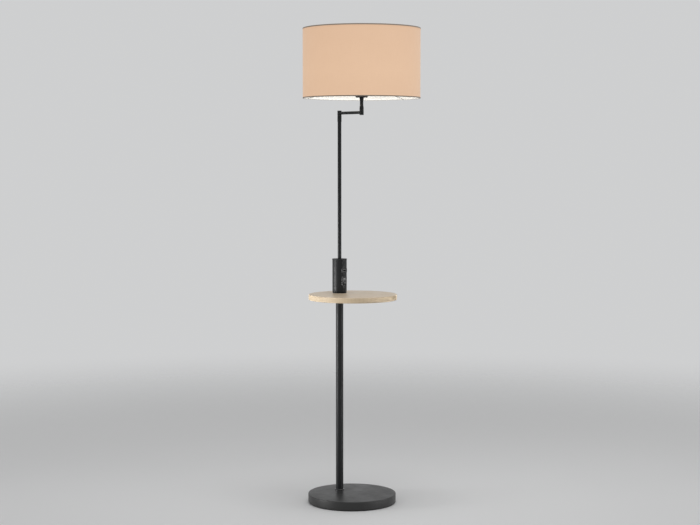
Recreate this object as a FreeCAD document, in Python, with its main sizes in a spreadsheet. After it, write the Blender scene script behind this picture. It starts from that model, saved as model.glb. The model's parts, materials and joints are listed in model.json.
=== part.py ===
import FreeCAD, Part
import math
import os
import Sketcher
from FreeCAD import Placement, Rotation, Vector

# Floor lamp with a round table on its pole and a drum shade on a short swivelling arm.
#
# Sizes are in millimetres. The origin is the middle of the base on the floor and +Z is up.
# The front is -Y: the base, the table and the arm all reach that way from the pole, and the
# switch and the charging socket face it. The pole stands behind the middle of the base.
# The arm swivels on top of the pole, the shade swivels on the end of the arm, and the switch
# is a rocker. The lamp is modelled switched on, with the arm straight to the front.

SIZES = [
    # threads and fits
    ("thread_diameter", 10, "hollow threaded rods that clamp the lamp together"),
    ("thread_bore", 6.8, "hole through the threaded rods"),
    ("thread_play", 0.1, "play on the diameter of a tapped hole"),
    ("slip_fit", 0.2, "play on the diameter where one tube slides into another"),
    ("clearance_hole", 10.6, "plain hole that a threaded rod passes"),
    ("glue_line", 0.05, "gap between two skins that are glued together"),
    ("nut_flats", 14, "hexagon nuts across their flats"),
    ("nut_thickness", 5, "height of the hexagon nuts"),
    ("thread_end", 2, "length of rod that stands out of its nut"),
    ("spigot_length", 8, "locating rim below the console's two end plates"),
    # base
    ("base_diameter", 298, "round base, outside of its cover"),
    ("base_height", 31.5, "top of the base above the floor"),
    ("base_sheet", 1.2, "steel sheet of the base cover"),
    ("base_edge", 1.2, "bevelled top edge of the base cover"),
    ("base_lift", 3.4, "lower rim of the cover above the floor"),
    ("weight_gap", 0.6, "gap round the weight inside the cover"),
    ("weight_plate", 11, "thickness of the cast weight"),
    ("weight_rim", 15, "width of the rim under the weight"),
    ("foot_ring_thickness", 3, "soft ring that the lamp stands on"),
    ("foot_ring_inset", 2, "soft ring's edge inside the weight's edge"),
    ("washer_diameter", 30, "washer under the weight"),
    ("washer_thickness", 2, "washer under the weight"),
    ("grommet_height", 12, "middle of the cable grommet above the floor"),
    ("grommet_sleeve", 9, "outside of the grommet's sleeve"),
    ("grommet_flange", 13, "outside of the grommet's flange"),
    ("grommet_flange_thickness", 2, "grommet's flange behind the base"),
    ("grommet_bore", 6.4, "hole for the cable"),
    # pole
    ("setback", 64.5, "pole behind the middle of the base"),
    ("lower_tube_diameter", 25.4, "tube from the base to the table"),
    ("lower_tube_length", 661.5, "tube from the base to the table"),
    ("tube_wall", 1.2, "wall of both tubes of the pole"),
    ("plug_length", 15, "tapped plugs in the ends of the lower tube"),
    ("pole_ring_diameter", 32, "trim ring round the foot of the pole"),
    ("pole_ring_height", 3.5, "trim ring round the foot of the pole"),
    ("pole_ring_edge", 1.2, "bevelled edges of the trim ring"),
    ("upper_tube_diameter", 12.7, "tube from the console to the arm"),
    ("upper_tube_length", 464, "tube from the console to the arm"),
    ("tube_grip", 12, "thread or spigot inside the upper tube"),
    # table
    ("table_diameter", 298, "wooden table top"),
    ("table_thickness", 18, "wooden table top"),
    ("table_edge", 1.6, "bevelled edges of the table top"),
    ("table_setback", 68.5, "pole behind the middle of the table"),
    # console
    ("console_diameter", 49, "housing of the switch and the charging socket"),
    ("console_height", 117, "console with both of its end plates"),
    ("console_wall", 2, "wall of the housing"),
    ("console_foot_diameter", 47.4, "plate under the housing, set back as a shadow line"),
    ("console_foot_thickness", 3.5, "plate under the housing"),
    ("console_cap_thickness", 3, "plate on the housing"),
    ("console_cap_edge", 0.8, "bevelled edge of the plate on the housing"),
    ("console_cap_overhang", 0.7, "plate's edge outside the housing"),
    # switch
    ("window_play", 0.3, "frames inside their windows in the housing, on the width"),
    ("flange_thickness", 1.8, "frames behind the housing's wall"),
    ("flange_lap", 3.2, "frames behind the housing, past their windows"),
    ("frame_stand", 1.4, "flat front of the frames before the housing"),
    ("switch_height", 41, "middle of the switch above the table"),
    ("switch_width", 20, "switch frame"),
    ("switch_length", 31, "switch frame"),
    ("frame_corner", 2.2, "rounded corners of the frames"),
    ("frame_depth", 9.4, "frames from front to back"),
    ("rocker_width", 12.9, "rocker"),
    ("rocker_length", 23, "rocker along its face"),
    ("rocker_play", 0.3, "gap beside the rocker, each side"),
    ("rocker_end_play", 1.3, "gap above and below the rocker, each end"),
    ("rocker_travel", 16, "tilt of the rocker between on and off, degrees"),
    ("rocker_crest", 5.9, "middle of the rocker's face before its pivot"),
    ("rocker_pivot_depth", 5.5, "rocker's pivot behind the frame's front"),
    ("rocker_pin", 3, "pivot pins of the rocker"),
    ("rocker_pin_length", 2.2, "pivot pins beside the rocker"),
    ("rocker_pin_play", 0.3, "play of the pins on their diameter"),
    ("rocker_heel", 0.5, "rocker behind its pins"),
    ("rocker_taper", 2.4, "rocker's ends drawn in towards the back"),
    ("switch_body_depth", 14, "contact block behind the rocker"),
    ("terminal_length", 7, "flat brass terminals"),
    ("terminal_width", 4.8, "flat brass terminals"),
    ("terminal_thickness", 0.8, "flat brass terminals"),
    ("terminal_pitch", 8, "flat brass terminals, one above the other"),
    # charging socket
    ("usb_height", 78, "middle of the charging socket above the table"),
    ("usb_frame_width", 22, "frame of the charging socket"),
    ("usb_frame_length", 13.6, "frame of the charging socket"),
    ("usb_width", 13.2, "metal shell of the socket"),
    ("usb_thickness", 5.8, "metal shell of the socket"),
    ("usb_depth", 14, "metal shell of the socket"),
    ("usb_sheet", 0.4, "metal shell of the socket"),
    ("usb_tongue_thickness", 1.8, "contact tongue in the socket"),
    ("usb_tongue_length", 8.5, "contact tongue in the socket"),
    ("usb_tongue_play", 0.6, "gap on each side of the contact tongue"),
    ("usb_tongue_rise", 0.6, "contact tongue above the middle of the shell"),
    ("board_thickness", 1.6, "circuit board under the socket"),
    ("board_width", 20, "circuit board under the socket"),
    ("board_depth", 30, "circuit board under the socket"),
    ("converter_height", 9, "power converter under the board"),
    ("converter_width", 16, "power converter under the board"),
    ("converter_depth", 20, "power converter under the board"),
    # swivels and arm
    ("fitting_diameter", 14.1, "fitting on top of the pole and both knuckles"),
    ("fitting_height", 22, "fitting on top of the pole"),
    ("lead_bore", 5.2, "hole for the lead through the fitting and the stem"),
    ("swivel_gap", 0.6, "gap at each swivel, filled by its washer"),
    ("swivel_washer", 0.5, "thickness of the swivel washers"),
    ("pivot_diameter", 8, "hollow pivots of the swivels"),
    ("pivot_bore", 4.6, "hole through the pivots"),
    ("pivot_play", 0.4, "play of a pivot in its knuckle, on the diameter"),
    ("pivot_grip", 9, "thread of a pivot in the fitting or the stem"),
    ("pivot_head", 10.6, "head of a pivot"),
    ("pivot_head_thickness", 1.2, "head of a pivot"),
    ("knuckle_near", 7, "knuckle from the arm's axis to its swivel face"),
    ("knuckle_far", 8.5, "knuckle from the arm's axis to its closed end"),
    ("knuckle_floor", 1.8, "floor of a knuckle, held by the pivot's head"),
    ("knuckle_cavity", 11.2, "round space inside a knuckle"),
    ("knuckle_cap", 1.5, "cap that closes a knuckle"),
    ("knuckle_edge", 0.5, "bevelled edges of the knuckles and the fitting"),
    ("arm_reach", 113, "from the pole's axis to the shade's axis"),
    ("arm_diameter", 10, "arm tube"),
    ("arm_wall", 1.2, "arm tube"),
    ("arm_inset", 0.3, "arm tube's ends behind the knuckles' inner wall"),
    ("lead_diameter", 4, "two-core lead inside the pole and the arm"),
    ("lead_bend", 3.8, "bend of the lead inside each knuckle"),
    ("lead_gap", 0.3, "gap between the lead's ends at a swivel"),
    # lamp holder
    ("stem_length", 41.8, "stem from its swivel to the holder's cup"),
    ("stem_end", 8, "straight foot of the stem"),
    ("stem_collar", 4, "straight top of the stem"),
    ("stem_taper", 8, "tapers below and above the stem's waist"),
    ("stem_waist", 11.6, "thinnest part of the stem"),
    ("cup_diameter", 41, "cup of the lamp holder"),
    ("cup_height", 24, "cup of the lamp holder"),
    ("cup_sheet", 0.8, "cup of the lamp holder"),
    ("cup_edge", 2, "bevelled lower edge of the cup"),
    ("skirt_diameter", 39, "threaded skirt above the cup"),
    ("skirt_height", 28, "threaded skirt above the cup"),
    ("core_bore", 8, "hole for the wires in the holder's core"),
    ("contact_disc", 12, "centre contact of the lamp holder"),
    ("contact_shell", 27.6, "brass screw shell, outside"),
    ("contact_sheet", 0.4, "brass screw shell"),
    ("contact_length", 24, "brass screw shell"),
    ("contact_thickness", 1, "brass disc under the bulb"),
    ("shade_ring_diameter", 56, "rings that clamp the shade"),
    ("shade_ring_height", 8, "rings that clamp the shade"),
    ("carrier_rise", 16, "shade carrier above the holder's cup"),
    ("carrier_sheet", 1.5, "centre ring of the shade carrier"),
    ("carrier_diameter", 70, "centre ring of the shade carrier"),
    # bulb
    ("bulb_cap_diameter", 26, "screw cap of the bulb"),
    ("bulb_cap_length", 28.5, "screw cap of the bulb"),
    ("bulb_tip_diameter", 9, "contact at the foot of the screw cap"),
    ("bulb_tip_height", 5, "taper at the foot of the screw cap"),
    ("bulb_base_length", 27, "cone between cap and globe"),
    ("bulb_neck", 42, "cone where the globe starts"),
    ("bulb_diameter", 60, "globe of the bulb"),
    # shade
    ("shade_diameter", 392, "drum shade over its hems"),
    ("shade_height", 232, "drum shade"),
    ("shade_drop", 3, "shade's lower edge below the holder's cup"),
    ("hem_height", 5.5, "band round each edge of the shade"),
    ("hem_thickness", 0.5, "band round each edge of the shade"),
    ("fabric_thickness", 0.7, "fabric of the shade"),
    ("liner_thickness", 0.4, "stiff liner inside the fabric"),
    ("wire_diameter", 3.6, "wire rings of the shade"),
    ("wire_arm_diameter", 3.2, "wire arms of the shade"),
    ("wire_inset", 0.3, "wire rings inside the shade's edges"),
    ("wire_arms", 3, "arms from the centre ring to the lower wire ring"),
]


class Size(float):
    """A number that remembers its formula, so that sketches and features can be bound to it."""

    def __new__(cls, value, formula):
        size = super().__new__(cls, value)
        size.formula = formula
        return size

    def __add__(self, other):
        return Size(float(self) + float(other), f"({self.formula} + {formula_of(other)})")

    def __radd__(self, other):
        return Size(float(other) + float(self), f"({formula_of(other)} + {self.formula})")

    def __sub__(self, other):
        return Size(float(self) - float(other), f"({self.formula} - {formula_of(other)})")

    def __rsub__(self, other):
        return Size(float(other) - float(self), f"({formula_of(other)} - {self.formula})")

    def __mul__(self, other):
        return Size(float(self) * float(other), f"({self.formula} * {formula_of(other)})")

    __rmul__ = __mul__

    def __truediv__(self, other):
        return Size(float(self) / float(other), f"({self.formula} / {formula_of(other)})")

    def __neg__(self):
        return self * -1

    def __abs__(self):
        return -self if float(self) < 0 else self


def formula_of(value):
    """The formula behind a size, or a plain number in brackets."""
    return getattr(value, "formula", f"({float(value)})")


class Sheet:
    """The spreadsheet of driving sizes: each of its names reads as a Size."""

    def __init__(self, document, rows):
        cells = document.addObject("Spreadsheet::Sheet", "Sizes")
        for row, (name, value, note) in enumerate(rows, start=1):
            cells.set(f"A{row}", name)
            cells.set(f"B{row}", str(value))
            cells.set(f"C{row}", note)
            cells.setAlias(f"B{row}", name)
        document.recompute()
        for name, _, _ in rows:
            setattr(self, name, Size(cells.get(name), f"Sizes.{name}"))


document = FreeCAD.newDocument("FloorLampWithTable")
size = Sheet(document, SIZES)
nodes = []


# ---------------------------------------------------------------------------------------------
# Drawing: sketches bound to the sizes, and the features made from them
# ---------------------------------------------------------------------------------------------

def bind(thing, path, value):
    """Tie one property to the formula of a size; plain numbers have nothing to tie."""
    if isinstance(value, Size):
        thing.setExpression(path, value.formula)


def pin(sketch, geometry, end, across, up):
    """Hold a point of a sketch at a place measured from the sketch's origin."""
    for kind, value, axis in (("DistanceX", across, -2), ("DistanceY", up, -1)):
        if abs(float(value)) < 1e-9:
            sketch.addConstraint(Sketcher.Constraint("PointOnObject", geometry, end, axis))
            continue
        ends = (-1, 1, geometry, end) if value > 0 else (geometry, end, -1, 1)
        index = sketch.addConstraint(Sketcher.Constraint(kind, *ends, abs(float(value))))
        bind(sketch, f"Constraints[{index}]", abs(value) if isinstance(value, Size) else value)


def line_between(start, end):
    """A straight side, with the numbers that its first and last points have in a sketch."""
    return Part.LineSegment(Vector(*map(float, start), 0), Vector(*map(float, end), 0)), 1, 2


def arc_between(start, end, radius, centre_left):
    """A round side of under half a circle, with its centre left or right of the way along it."""
    first = Vector(*map(float, start), 0)
    last = Vector(*map(float, end), 0)
    along = last - first
    height = math.sqrt(max(float(radius) ** 2 - along.Length ** 2 / 4, 0))
    sideways = Vector(-along.y, along.x, 0).normalize() * (height if centre_left else -height)
    centre = (first + last) / 2 + sideways
    angle_first = math.atan2(first.y - centre.y, first.x - centre.x)
    angle_last = math.atan2(last.y - centre.y, last.x - centre.x)
    circle = Part.Circle(centre, Vector(0, 0, 1), float(radius))
    if centre_left:
        return Part.ArcOfCircle(circle, angle_first, angle_last), 1, 2
    return Part.ArcOfCircle(circle, angle_last, angle_first), 2, 1


class Arc:
    """Stands between two points of an outline: the side from one to the other is round."""

    def __init__(self, radius, centre_left):
        self.radius = radius
        self.centre_left = centre_left


def toward(start, end):
    """Direction from one point to another that lies straight beside, above or below it."""
    step = [float(there) - float(here) for here, there in zip(start, end)]
    return [0 if abs(value) < 1e-6 else math.copysign(1, value) for value in step]


def moved(point, direction, distance):
    """The point that lies a distance away in a direction of -1, 0 or 1 along each axis."""
    return tuple(here if step == 0 else here + distance * step
                 for here, step in zip(point, direction))


def soften(corners, rounded):
    """Replace each corner (x, y, inset) by two points, with an arc or a bevel between them."""
    points = []
    for index, corner in enumerate(corners):
        if len(corner) == 2:
            points.append(corner)
            continue
        here, inset = corner[:2], corner[2]
        before = toward(here, corners[index - 1][:2])
        after = toward(here, corners[(index + 1) % len(corners)][:2])
        points.append(moved(here, before, inset))
        if rounded:
            points.append(Arc(inset, before[0] * after[1] - before[1] * after[0] < 0))
        points.append(moved(here, after, inset))
    return points


def draw_sides(sketch, points, closed):
    """Draw lines and arcs from point to point, and tie every point and radius to its size."""
    places = [item for item in points if not isinstance(item, Arc)]
    arcs = {}
    for index, item in enumerate(points):
        if isinstance(item, Arc):
            arcs[index - len(arcs) - 1] = item
    sides = []
    for number in range(len(places) if closed else len(places) - 1):
        ends = (places[number], places[(number + 1) % len(places)])
        arc = arcs.get(number)
        side = arc_between(*ends, arc.radius, arc.centre_left) if arc else line_between(*ends)
        sides.append((sketch.addGeometry(side[0], False), *side[1:]))
    for number, (side, first, last) in enumerate(sides):
        pin(sketch, side, first, *places[number])
        if number in arcs:
            radius = arcs[number].radius
            index = sketch.addConstraint(Sketcher.Constraint("Radius", side, float(radius)))
            bind(sketch, f"Constraints[{index}]", radius)
        if closed or number + 1 < len(sides):
            following, following_first, _ = sides[(number + 1) % len(sides)]
            sketch.addConstraint(
                Sketcher.Constraint("Coincident", side, last, following, following_first))
        else:
            pin(sketch, side, last, *places[-1])


def outline(*corners, rounded=False):
    """A closed outline. A corner (x, y, inset) is bevelled, or rounded to that radius."""
    return lambda sketch: draw_sides(sketch, soften(corners, rounded), closed=True)


def open_path(*points):
    """A path of lines and arcs that a pipe follows."""
    return lambda sketch: draw_sides(sketch, points, closed=False)


def circle(diameter, across=0, up=0):
    """A circle about a point of the sketch."""
    def draw(sketch):
        centre = Vector(float(across), float(up), 0)
        geometry = sketch.addGeometry(Part.Circle(centre, Vector(0, 0, 1), float(diameter) / 2))
        pin(sketch, geometry, 3, across, up)
        index = sketch.addConstraint(Sketcher.Constraint("Diameter", geometry, float(diameter)))
        bind(sketch, f"Constraints[{index}]", diameter)
    return draw


def rectangle(width, length, across=0, up=0, corner=None):
    """A rectangle about a point of the sketch, with square or rounded corners."""
    left, right = across - width / 2, across + width / 2
    bottom, top = up - length / 2, up + length / 2
    places = [(left, bottom), (right, bottom), (right, top), (left, top)]
    if corner is None:
        return outline(*places)
    return outline(*[(*place, corner) for place in places], rounded=True)


def wire_section(across, up):
    """A round wire's section drawn with eight sides, as wide across its flats as the wire."""
    half = size.wire_diameter / 2
    side = half * math.tan(math.pi / 8)
    return outline((across + side, up - half), (across + half, up - side),
                   (across + half, up + side), (across + side, up + half),
                   (across - side, up + half), (across - half, up + side),
                   (across - half, up - side), (across - side, up - half))


# Each origin plane by the axes that lie in it, with the direction of its sketches' normal
# along +Z, +Y or +X.
PLANES = {"XY": ("XY_Plane", 1), "XZ": ("XZ_Plane", -1), "YZ": ("YZ_Plane", 1)}


def origin_item(body, role):
    """One of the body's own origin planes or axes."""
    return next(item for item in body.Origin.OriginFeatures if item.Role == role)


def new_sketch(body, plane, drawings, start=0):
    """A sketch on one of the body's own planes, moved to `start` along the plane's axis."""
    role, normal = PLANES[plane]
    sketch = body.newObject("Sketcher::SketchObject", f"{body.Label}_sketch")
    sketch.AttachmentSupport = [(origin_item(body, role), "")]
    sketch.MapMode = "FlatFace"
    if start:
        sketch.AttachmentOffset = Placement(Vector(0, 0, float(start) * normal), Rotation())
        bind(sketch, "AttachmentOffset.Base.z", start * normal)
    for draw in drawings:
        draw(sketch)
    return sketch


def new_body(label, y=0, z=0):
    """A body of its own, standing at a place on the lamp's middle plane."""
    body = document.addObject("PartDesign::Body", label)
    body.Label = label
    body.Placement = Placement(Vector(0, float(y), float(z)), Rotation())
    bind(body, "Placement.Base.y", y)
    bind(body, "Placement.Base.z", z)
    return body


def keep(thing):
    """Put a finished sub-part on the list of those that are written out."""
    nodes.append(thing)
    return thing


def keep_together(label, bodies):
    """Several separate solids that are written out as one sub-part."""
    group = document.addObject("Part::Compound", label)
    group.Label = label
    group.Links = bodies
    return keep(group)


def spin(body, sketch):
    """Turn a sketch all the way round the body's upright axis."""
    feature = body.newObject("PartDesign::Revolution", f"{body.Label}_turned")
    feature.Profile = sketch
    feature.ReferenceAxis = (sketch, ["V_Axis"])
    feature.Angle = 360
    return feature


def turn(body, *corners):
    """Turn a profile of (radius, height) corners about the body's upright axis."""
    return spin(body, new_sketch(body, "XZ", [outline(*corners)]))


def extrude(body, plane, drawings, start, end):
    """Add material from one distance to another along the plane's axis."""
    feature = body.newObject("PartDesign::Pad", f"{body.Label}_pad")
    feature.Profile = new_sketch(body, plane, drawings, start)
    feature.Length = float(end - start)
    bind(feature, "Length", end - start)
    feature.Reversed = PLANES[plane][1] < 0
    return feature


def cut(body, plane, drawings, start, end):
    """Take material away from one distance to another along the plane's axis."""
    document.recompute()
    before = body.Shape.Volume
    feature = body.newObject("PartDesign::Pocket", f"{body.Label}_pocket")
    feature.Profile = new_sketch(body, plane, drawings, start)
    feature.Length = float(end - start)
    bind(feature, "Length", end - start)
    feature.Reversed = PLANES[plane][1] > 0
    document.recompute()
    if not body.Shape.Volume < before - 1e-3:
        raise RuntimeError(f"a pocket of {body.Label} cuts nothing")
    return feature


def turned(label, *corners, y=0):
    """A whole sub-part that is one turned profile, on an upright axis."""
    body = new_body(label, y)
    turn(body, *corners)
    return keep(body)


def sleeve(label, outside, bore, bottom, top, y=0, edge=None):
    """A plain tube or disc with a hole, by diameters; `edge` bevels its upper outer edge."""
    upper = (outside / 2, top) if edge is None else (outside / 2, top, edge)
    return turned(label, (bore / 2, bottom), (outside / 2, bottom), upper, (bore / 2, top), y=y)


def rod(label, diameter, bottom, top, y=0):
    """A plain upright round bar."""
    body = new_body(label, y)
    extrude(body, "XY", [circle(diameter)], bottom, top)
    return keep(body)


def root(value):
    """The square root of a size."""
    return Size(math.sqrt(value), f"sqrt({value.formula})")


def hexagon(flats):
    """A regular hexagon about the sketch's origin, by its width across the flats."""
    corner = flats / math.sqrt(3)
    half = flats / 2
    return outline((corner, 0), (corner / 2, half), (-corner / 2, half),
                   (-corner, 0), (-corner / 2, -half), (corner / 2, -half))


def nut(label, bottom, y):
    """A hexagon nut that clamps one of the threaded rods."""
    body = new_body(label, y, bottom)
    hole = size.thread_diameter + size.thread_play
    extrude(body, "XY", [hexagon(size.nut_flats), circle(hole)], 0, size.nut_thickness)
    return body


# ---------------------------------------------------------------------------------------------
# Places worked out from the sizes
# ---------------------------------------------------------------------------------------------

pole = size.setback
head = size.setback - size.arm_reach
tapped_hole = size.thread_diameter + size.thread_play

cover_radius = size.base_diameter / 2
cover_inside = cover_radius - size.base_sheet
weight_radius = cover_inside - size.weight_gap
weight_top = size.base_height - size.base_sheet
weight_under = weight_top - size.weight_plate
foot_washer_under = weight_under - size.washer_thickness
foot_nut_under = foot_washer_under - size.nut_thickness

lower_tube_bore = size.lower_tube_diameter - 2 * size.tube_wall
table_under = size.base_height + size.lower_tube_length
table_top_height = table_under + size.table_thickness

console_radius = size.console_diameter / 2
console_inside = console_radius - size.console_wall
console_top = table_top_height + size.console_height
console_nut_under = table_top_height + size.console_foot_thickness + size.spigot_length
cap_nut_under = console_top - size.console_cap_thickness - size.spigot_length - size.nut_thickness
frame_front = console_radius + size.frame_stand
frame_back = frame_front - size.frame_depth
flange_outside = console_inside - size.window_play / 2
flange_inside = flange_outside - size.flange_thickness

upper_tube_bore = size.upper_tube_diameter - 2 * size.tube_wall
upper_tube_top = console_top + size.upper_tube_length
fitting_top = upper_tube_top + size.fitting_height
arm_axis = fitting_top + size.swivel_gap + size.knuckle_near
pivot_head_near = size.knuckle_near - size.knuckle_floor - (size.swivel_gap - size.swivel_washer) * 2
pivot_head_far = pivot_head_near - size.pivot_head_thickness

stem_foot = arm_axis + size.knuckle_near + size.swivel_gap
cup_under = stem_foot + size.stem_length
cup_inside = size.cup_diameter - 2 * size.cup_sheet
holder_nut_under = cup_under + size.cup_sheet
stem_top = holder_nut_under + size.nut_thickness + size.thread_end
cup_top = cup_under + size.cup_height
carrier_under = cup_top + size.carrier_rise
carrier_top = carrier_under + size.carrier_sheet
bulb_foot = cup_top + size.contact_thickness
bulb_cap_top = bulb_foot + size.bulb_cap_length
bulb_base_top = bulb_cap_top + size.bulb_base_length

shade_bottom = cup_under - size.shade_drop
shade_top = shade_bottom + size.shade_height
hem_inside = size.shade_diameter / 2 - size.hem_thickness
fabric_outside = hem_inside - size.glue_line
fabric_inside = fabric_outside - size.fabric_thickness
liner_outside = fabric_inside - size.glue_line
liner_inside = liner_outside - size.liner_thickness
wire_radius = size.wire_diameter / 2
wire_ring = liner_inside - size.glue_line - wire_radius


# ---------------------------------------------------------------------------------------------
# Base: a sheet steel cover over a cast weight that stands on a soft ring
# ---------------------------------------------------------------------------------------------

def make_foot_ring():
    outside = 2 * (weight_radius - size.foot_ring_inset)
    bore = 2 * (weight_radius - size.weight_rim + size.foot_ring_inset)
    sleeve("foot_ring", outside, bore, 0, size.foot_ring_thickness)


def make_base_weight():
    rim_inside = weight_radius - size.weight_rim
    body = new_body("base_weight")
    turn(body,
         (0, weight_under), (rim_inside, weight_under), (rim_inside, size.foot_ring_thickness),
         (weight_radius, size.foot_ring_thickness),
         (weight_radius, weight_top, size.base_edge), (0, weight_top))
    cut(body, "XY", [circle(size.clearance_hole, up=pole)], 0, size.base_height)
    grommet_hole = circle(size.grommet_sleeve + size.thread_play, up=size.grommet_height)
    cut(body, "XZ", [grommet_hole], 0, cover_radius)
    keep(body)


def make_base_cover():
    body = new_body("base_cover")
    turn(body,
         (0, weight_top), (cover_inside, weight_top), (cover_inside, size.base_lift),
         (cover_radius, size.base_lift),
         (cover_radius, size.base_height, size.base_edge), (0, size.base_height))
    cut(body, "XY", [circle(size.clearance_hole, up=pole)], 0, 2 * size.base_height)
    grommet_hole = circle(size.grommet_sleeve + size.thread_play, up=size.grommet_height)
    cut(body, "XZ", [grommet_hole], 0, 2 * cover_radius)
    keep(body)


def make_cable_grommet():
    """A sleeve through the rim of the base, with a flange behind the cover."""
    body = new_body("cable_grommet", z=size.grommet_height)
    inner_end = weight_radius - size.weight_rim
    outer_end = cover_radius + size.grommet_flange_thickness
    extrude(body, "XZ", [circle(size.grommet_sleeve)], inner_end, outer_end)
    extrude(body, "XZ", [circle(size.grommet_flange)], cover_radius, outer_end)
    cut(body, "XZ", [circle(size.grommet_bore)], inner_end, outer_end)
    keep(body)


def make_foot_clamp():
    """The threaded rod and washer that pull the pole down on the base."""
    sleeve("foot_nipple", size.thread_diameter, size.thread_bore,
           foot_nut_under - size.thread_end, size.base_height + size.plug_length, y=pole)
    sleeve("foot_washer", size.washer_diameter, size.clearance_hole,
           foot_washer_under, weight_under, y=pole)


def make_clamp_nuts():
    """Three like nuts: under the base, on the console's foot and under its cap."""
    keep_together("clamp_nuts", [nut("foot_nut", foot_nut_under, pole),
                                 nut("console_nut", console_nut_under, pole),
                                 nut("cap_nut", cap_nut_under, pole)])


# ---------------------------------------------------------------------------------------------
# Pole and table
# ---------------------------------------------------------------------------------------------

def make_lower_pole():
    sleeve("pole_foot_ring", size.pole_ring_diameter, size.lower_tube_diameter + size.slip_fit,
           size.base_height, size.base_height + size.pole_ring_height, y=pole,
           edge=size.pole_ring_edge)
    sleeve("lower_tube", size.lower_tube_diameter, lower_tube_bore,
           size.base_height, table_under, y=pole)
    plug = lower_tube_bore - size.slip_fit
    sleeve("tube_foot_plug", plug, tapped_hole,
           size.base_height, size.base_height + size.plug_length, y=pole)
    sleeve("tube_head_plug", plug, tapped_hole, table_under - size.plug_length, table_under, y=pole)


def make_table():
    radius = size.table_diameter / 2
    edge = size.table_edge
    body = new_body("table_top", pole - size.table_setback)
    turn(body, (0, table_under), (radius, table_under, edge), (radius, table_top_height, edge),
         (0, table_top_height))
    cut(body, "XY", [circle(size.clearance_hole, up=size.table_setback)], 0, table_top_height)
    keep(body)
    sleeve("table_nipple", size.thread_diameter, size.thread_bore,
           table_under - size.plug_length,
           console_nut_under + size.nut_thickness + size.thread_end, y=pole)


def make_upper_pole():
    sleeve("upper_tube", size.upper_tube_diameter, upper_tube_bore,
           console_top, upper_tube_top, y=pole)
    spigot = (upper_tube_bore - size.slip_fit) / 2
    outside = size.fitting_diameter / 2
    bore = size.lead_bore / 2
    tapped = (size.pivot_diameter + size.thread_play) / 2
    shoulder = fitting_top - size.pivot_grip - size.thread_end
    turned("pole_top_fitting",
           (bore, upper_tube_top - size.tube_grip), (spigot, upper_tube_top - size.tube_grip),
           (spigot, upper_tube_top), (outside, upper_tube_top, size.knuckle_edge),
           (outside, fitting_top, size.knuckle_edge), (tapped, fitting_top),
           (tapped, shoulder), (bore, shoulder), y=pole)


# ---------------------------------------------------------------------------------------------
# Console: a short tube on the table that holds the switch and the charging socket
# ---------------------------------------------------------------------------------------------

def make_console_housing():
    """The tube of the console, with two windows in its front."""
    body = new_body("console_housing", y=pole)
    bottom = table_top_height + size.console_foot_thickness
    top = console_top - size.console_cap_thickness
    turn(body, (console_inside, bottom), (console_radius, bottom),
         (console_radius, top), (console_inside, top))
    play = size.window_play
    windows = [rectangle(size.switch_width + play, size.switch_length + play,
                         up=table_top_height + size.switch_height, corner=size.frame_corner),
               rectangle(size.usb_frame_width + play, size.usb_frame_length + play,
                         up=table_top_height + size.usb_height, corner=size.frame_corner)]
    cut(body, "XZ", windows, -size.console_diameter, 0)
    keep(body)


def make_console_ends():
    """The foot plate and the cap, each with a rim that locates the housing."""
    spigot = console_inside - size.slip_fit / 2
    hole = size.clearance_hole / 2
    foot_radius = size.console_foot_diameter / 2
    foot_top = table_top_height + size.console_foot_thickness
    turned("console_foot",
           (hole, table_top_height), (foot_radius, table_top_height), (foot_radius, foot_top),
           (spigot, foot_top), (spigot, console_nut_under), (hole, console_nut_under), y=pole)
    cap_under = console_top - size.console_cap_thickness
    cap_radius = console_radius + size.console_cap_overhang
    turned("console_cap",
           (tapped_hole / 2, cap_under - size.spigot_length),
           (spigot, cap_under - size.spigot_length), (spigot, cap_under),
           (cap_radius, cap_under), (cap_radius, console_top, size.console_cap_edge),
           (tapped_hole / 2, console_top), y=pole)
    sleeve("cap_nipple", size.thread_diameter, size.thread_bore,
           cap_nut_under - size.thread_end, console_top + size.tube_grip, y=pole)


def add_frame_flange(body, width, length):
    """The curved flange of a frame, which lies behind the housing's round wall."""
    lap = size.flange_lap
    half = length / 2 + lap
    flange = outline((-flange_outside, -half), (-flange_inside, -half),
                     (-flange_inside, half), (-flange_outside, half))
    feature = spin(body, new_sketch(body, "YZ", [flange]))
    spread = width / 2 + lap
    feature.Angle = 2 * math.degrees(math.asin(spread / flange_outside))
    feature.setExpression("Angle", f"2 * asin({spread.formula} / {flange_outside.formula})")
    feature.Midplane = True


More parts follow.
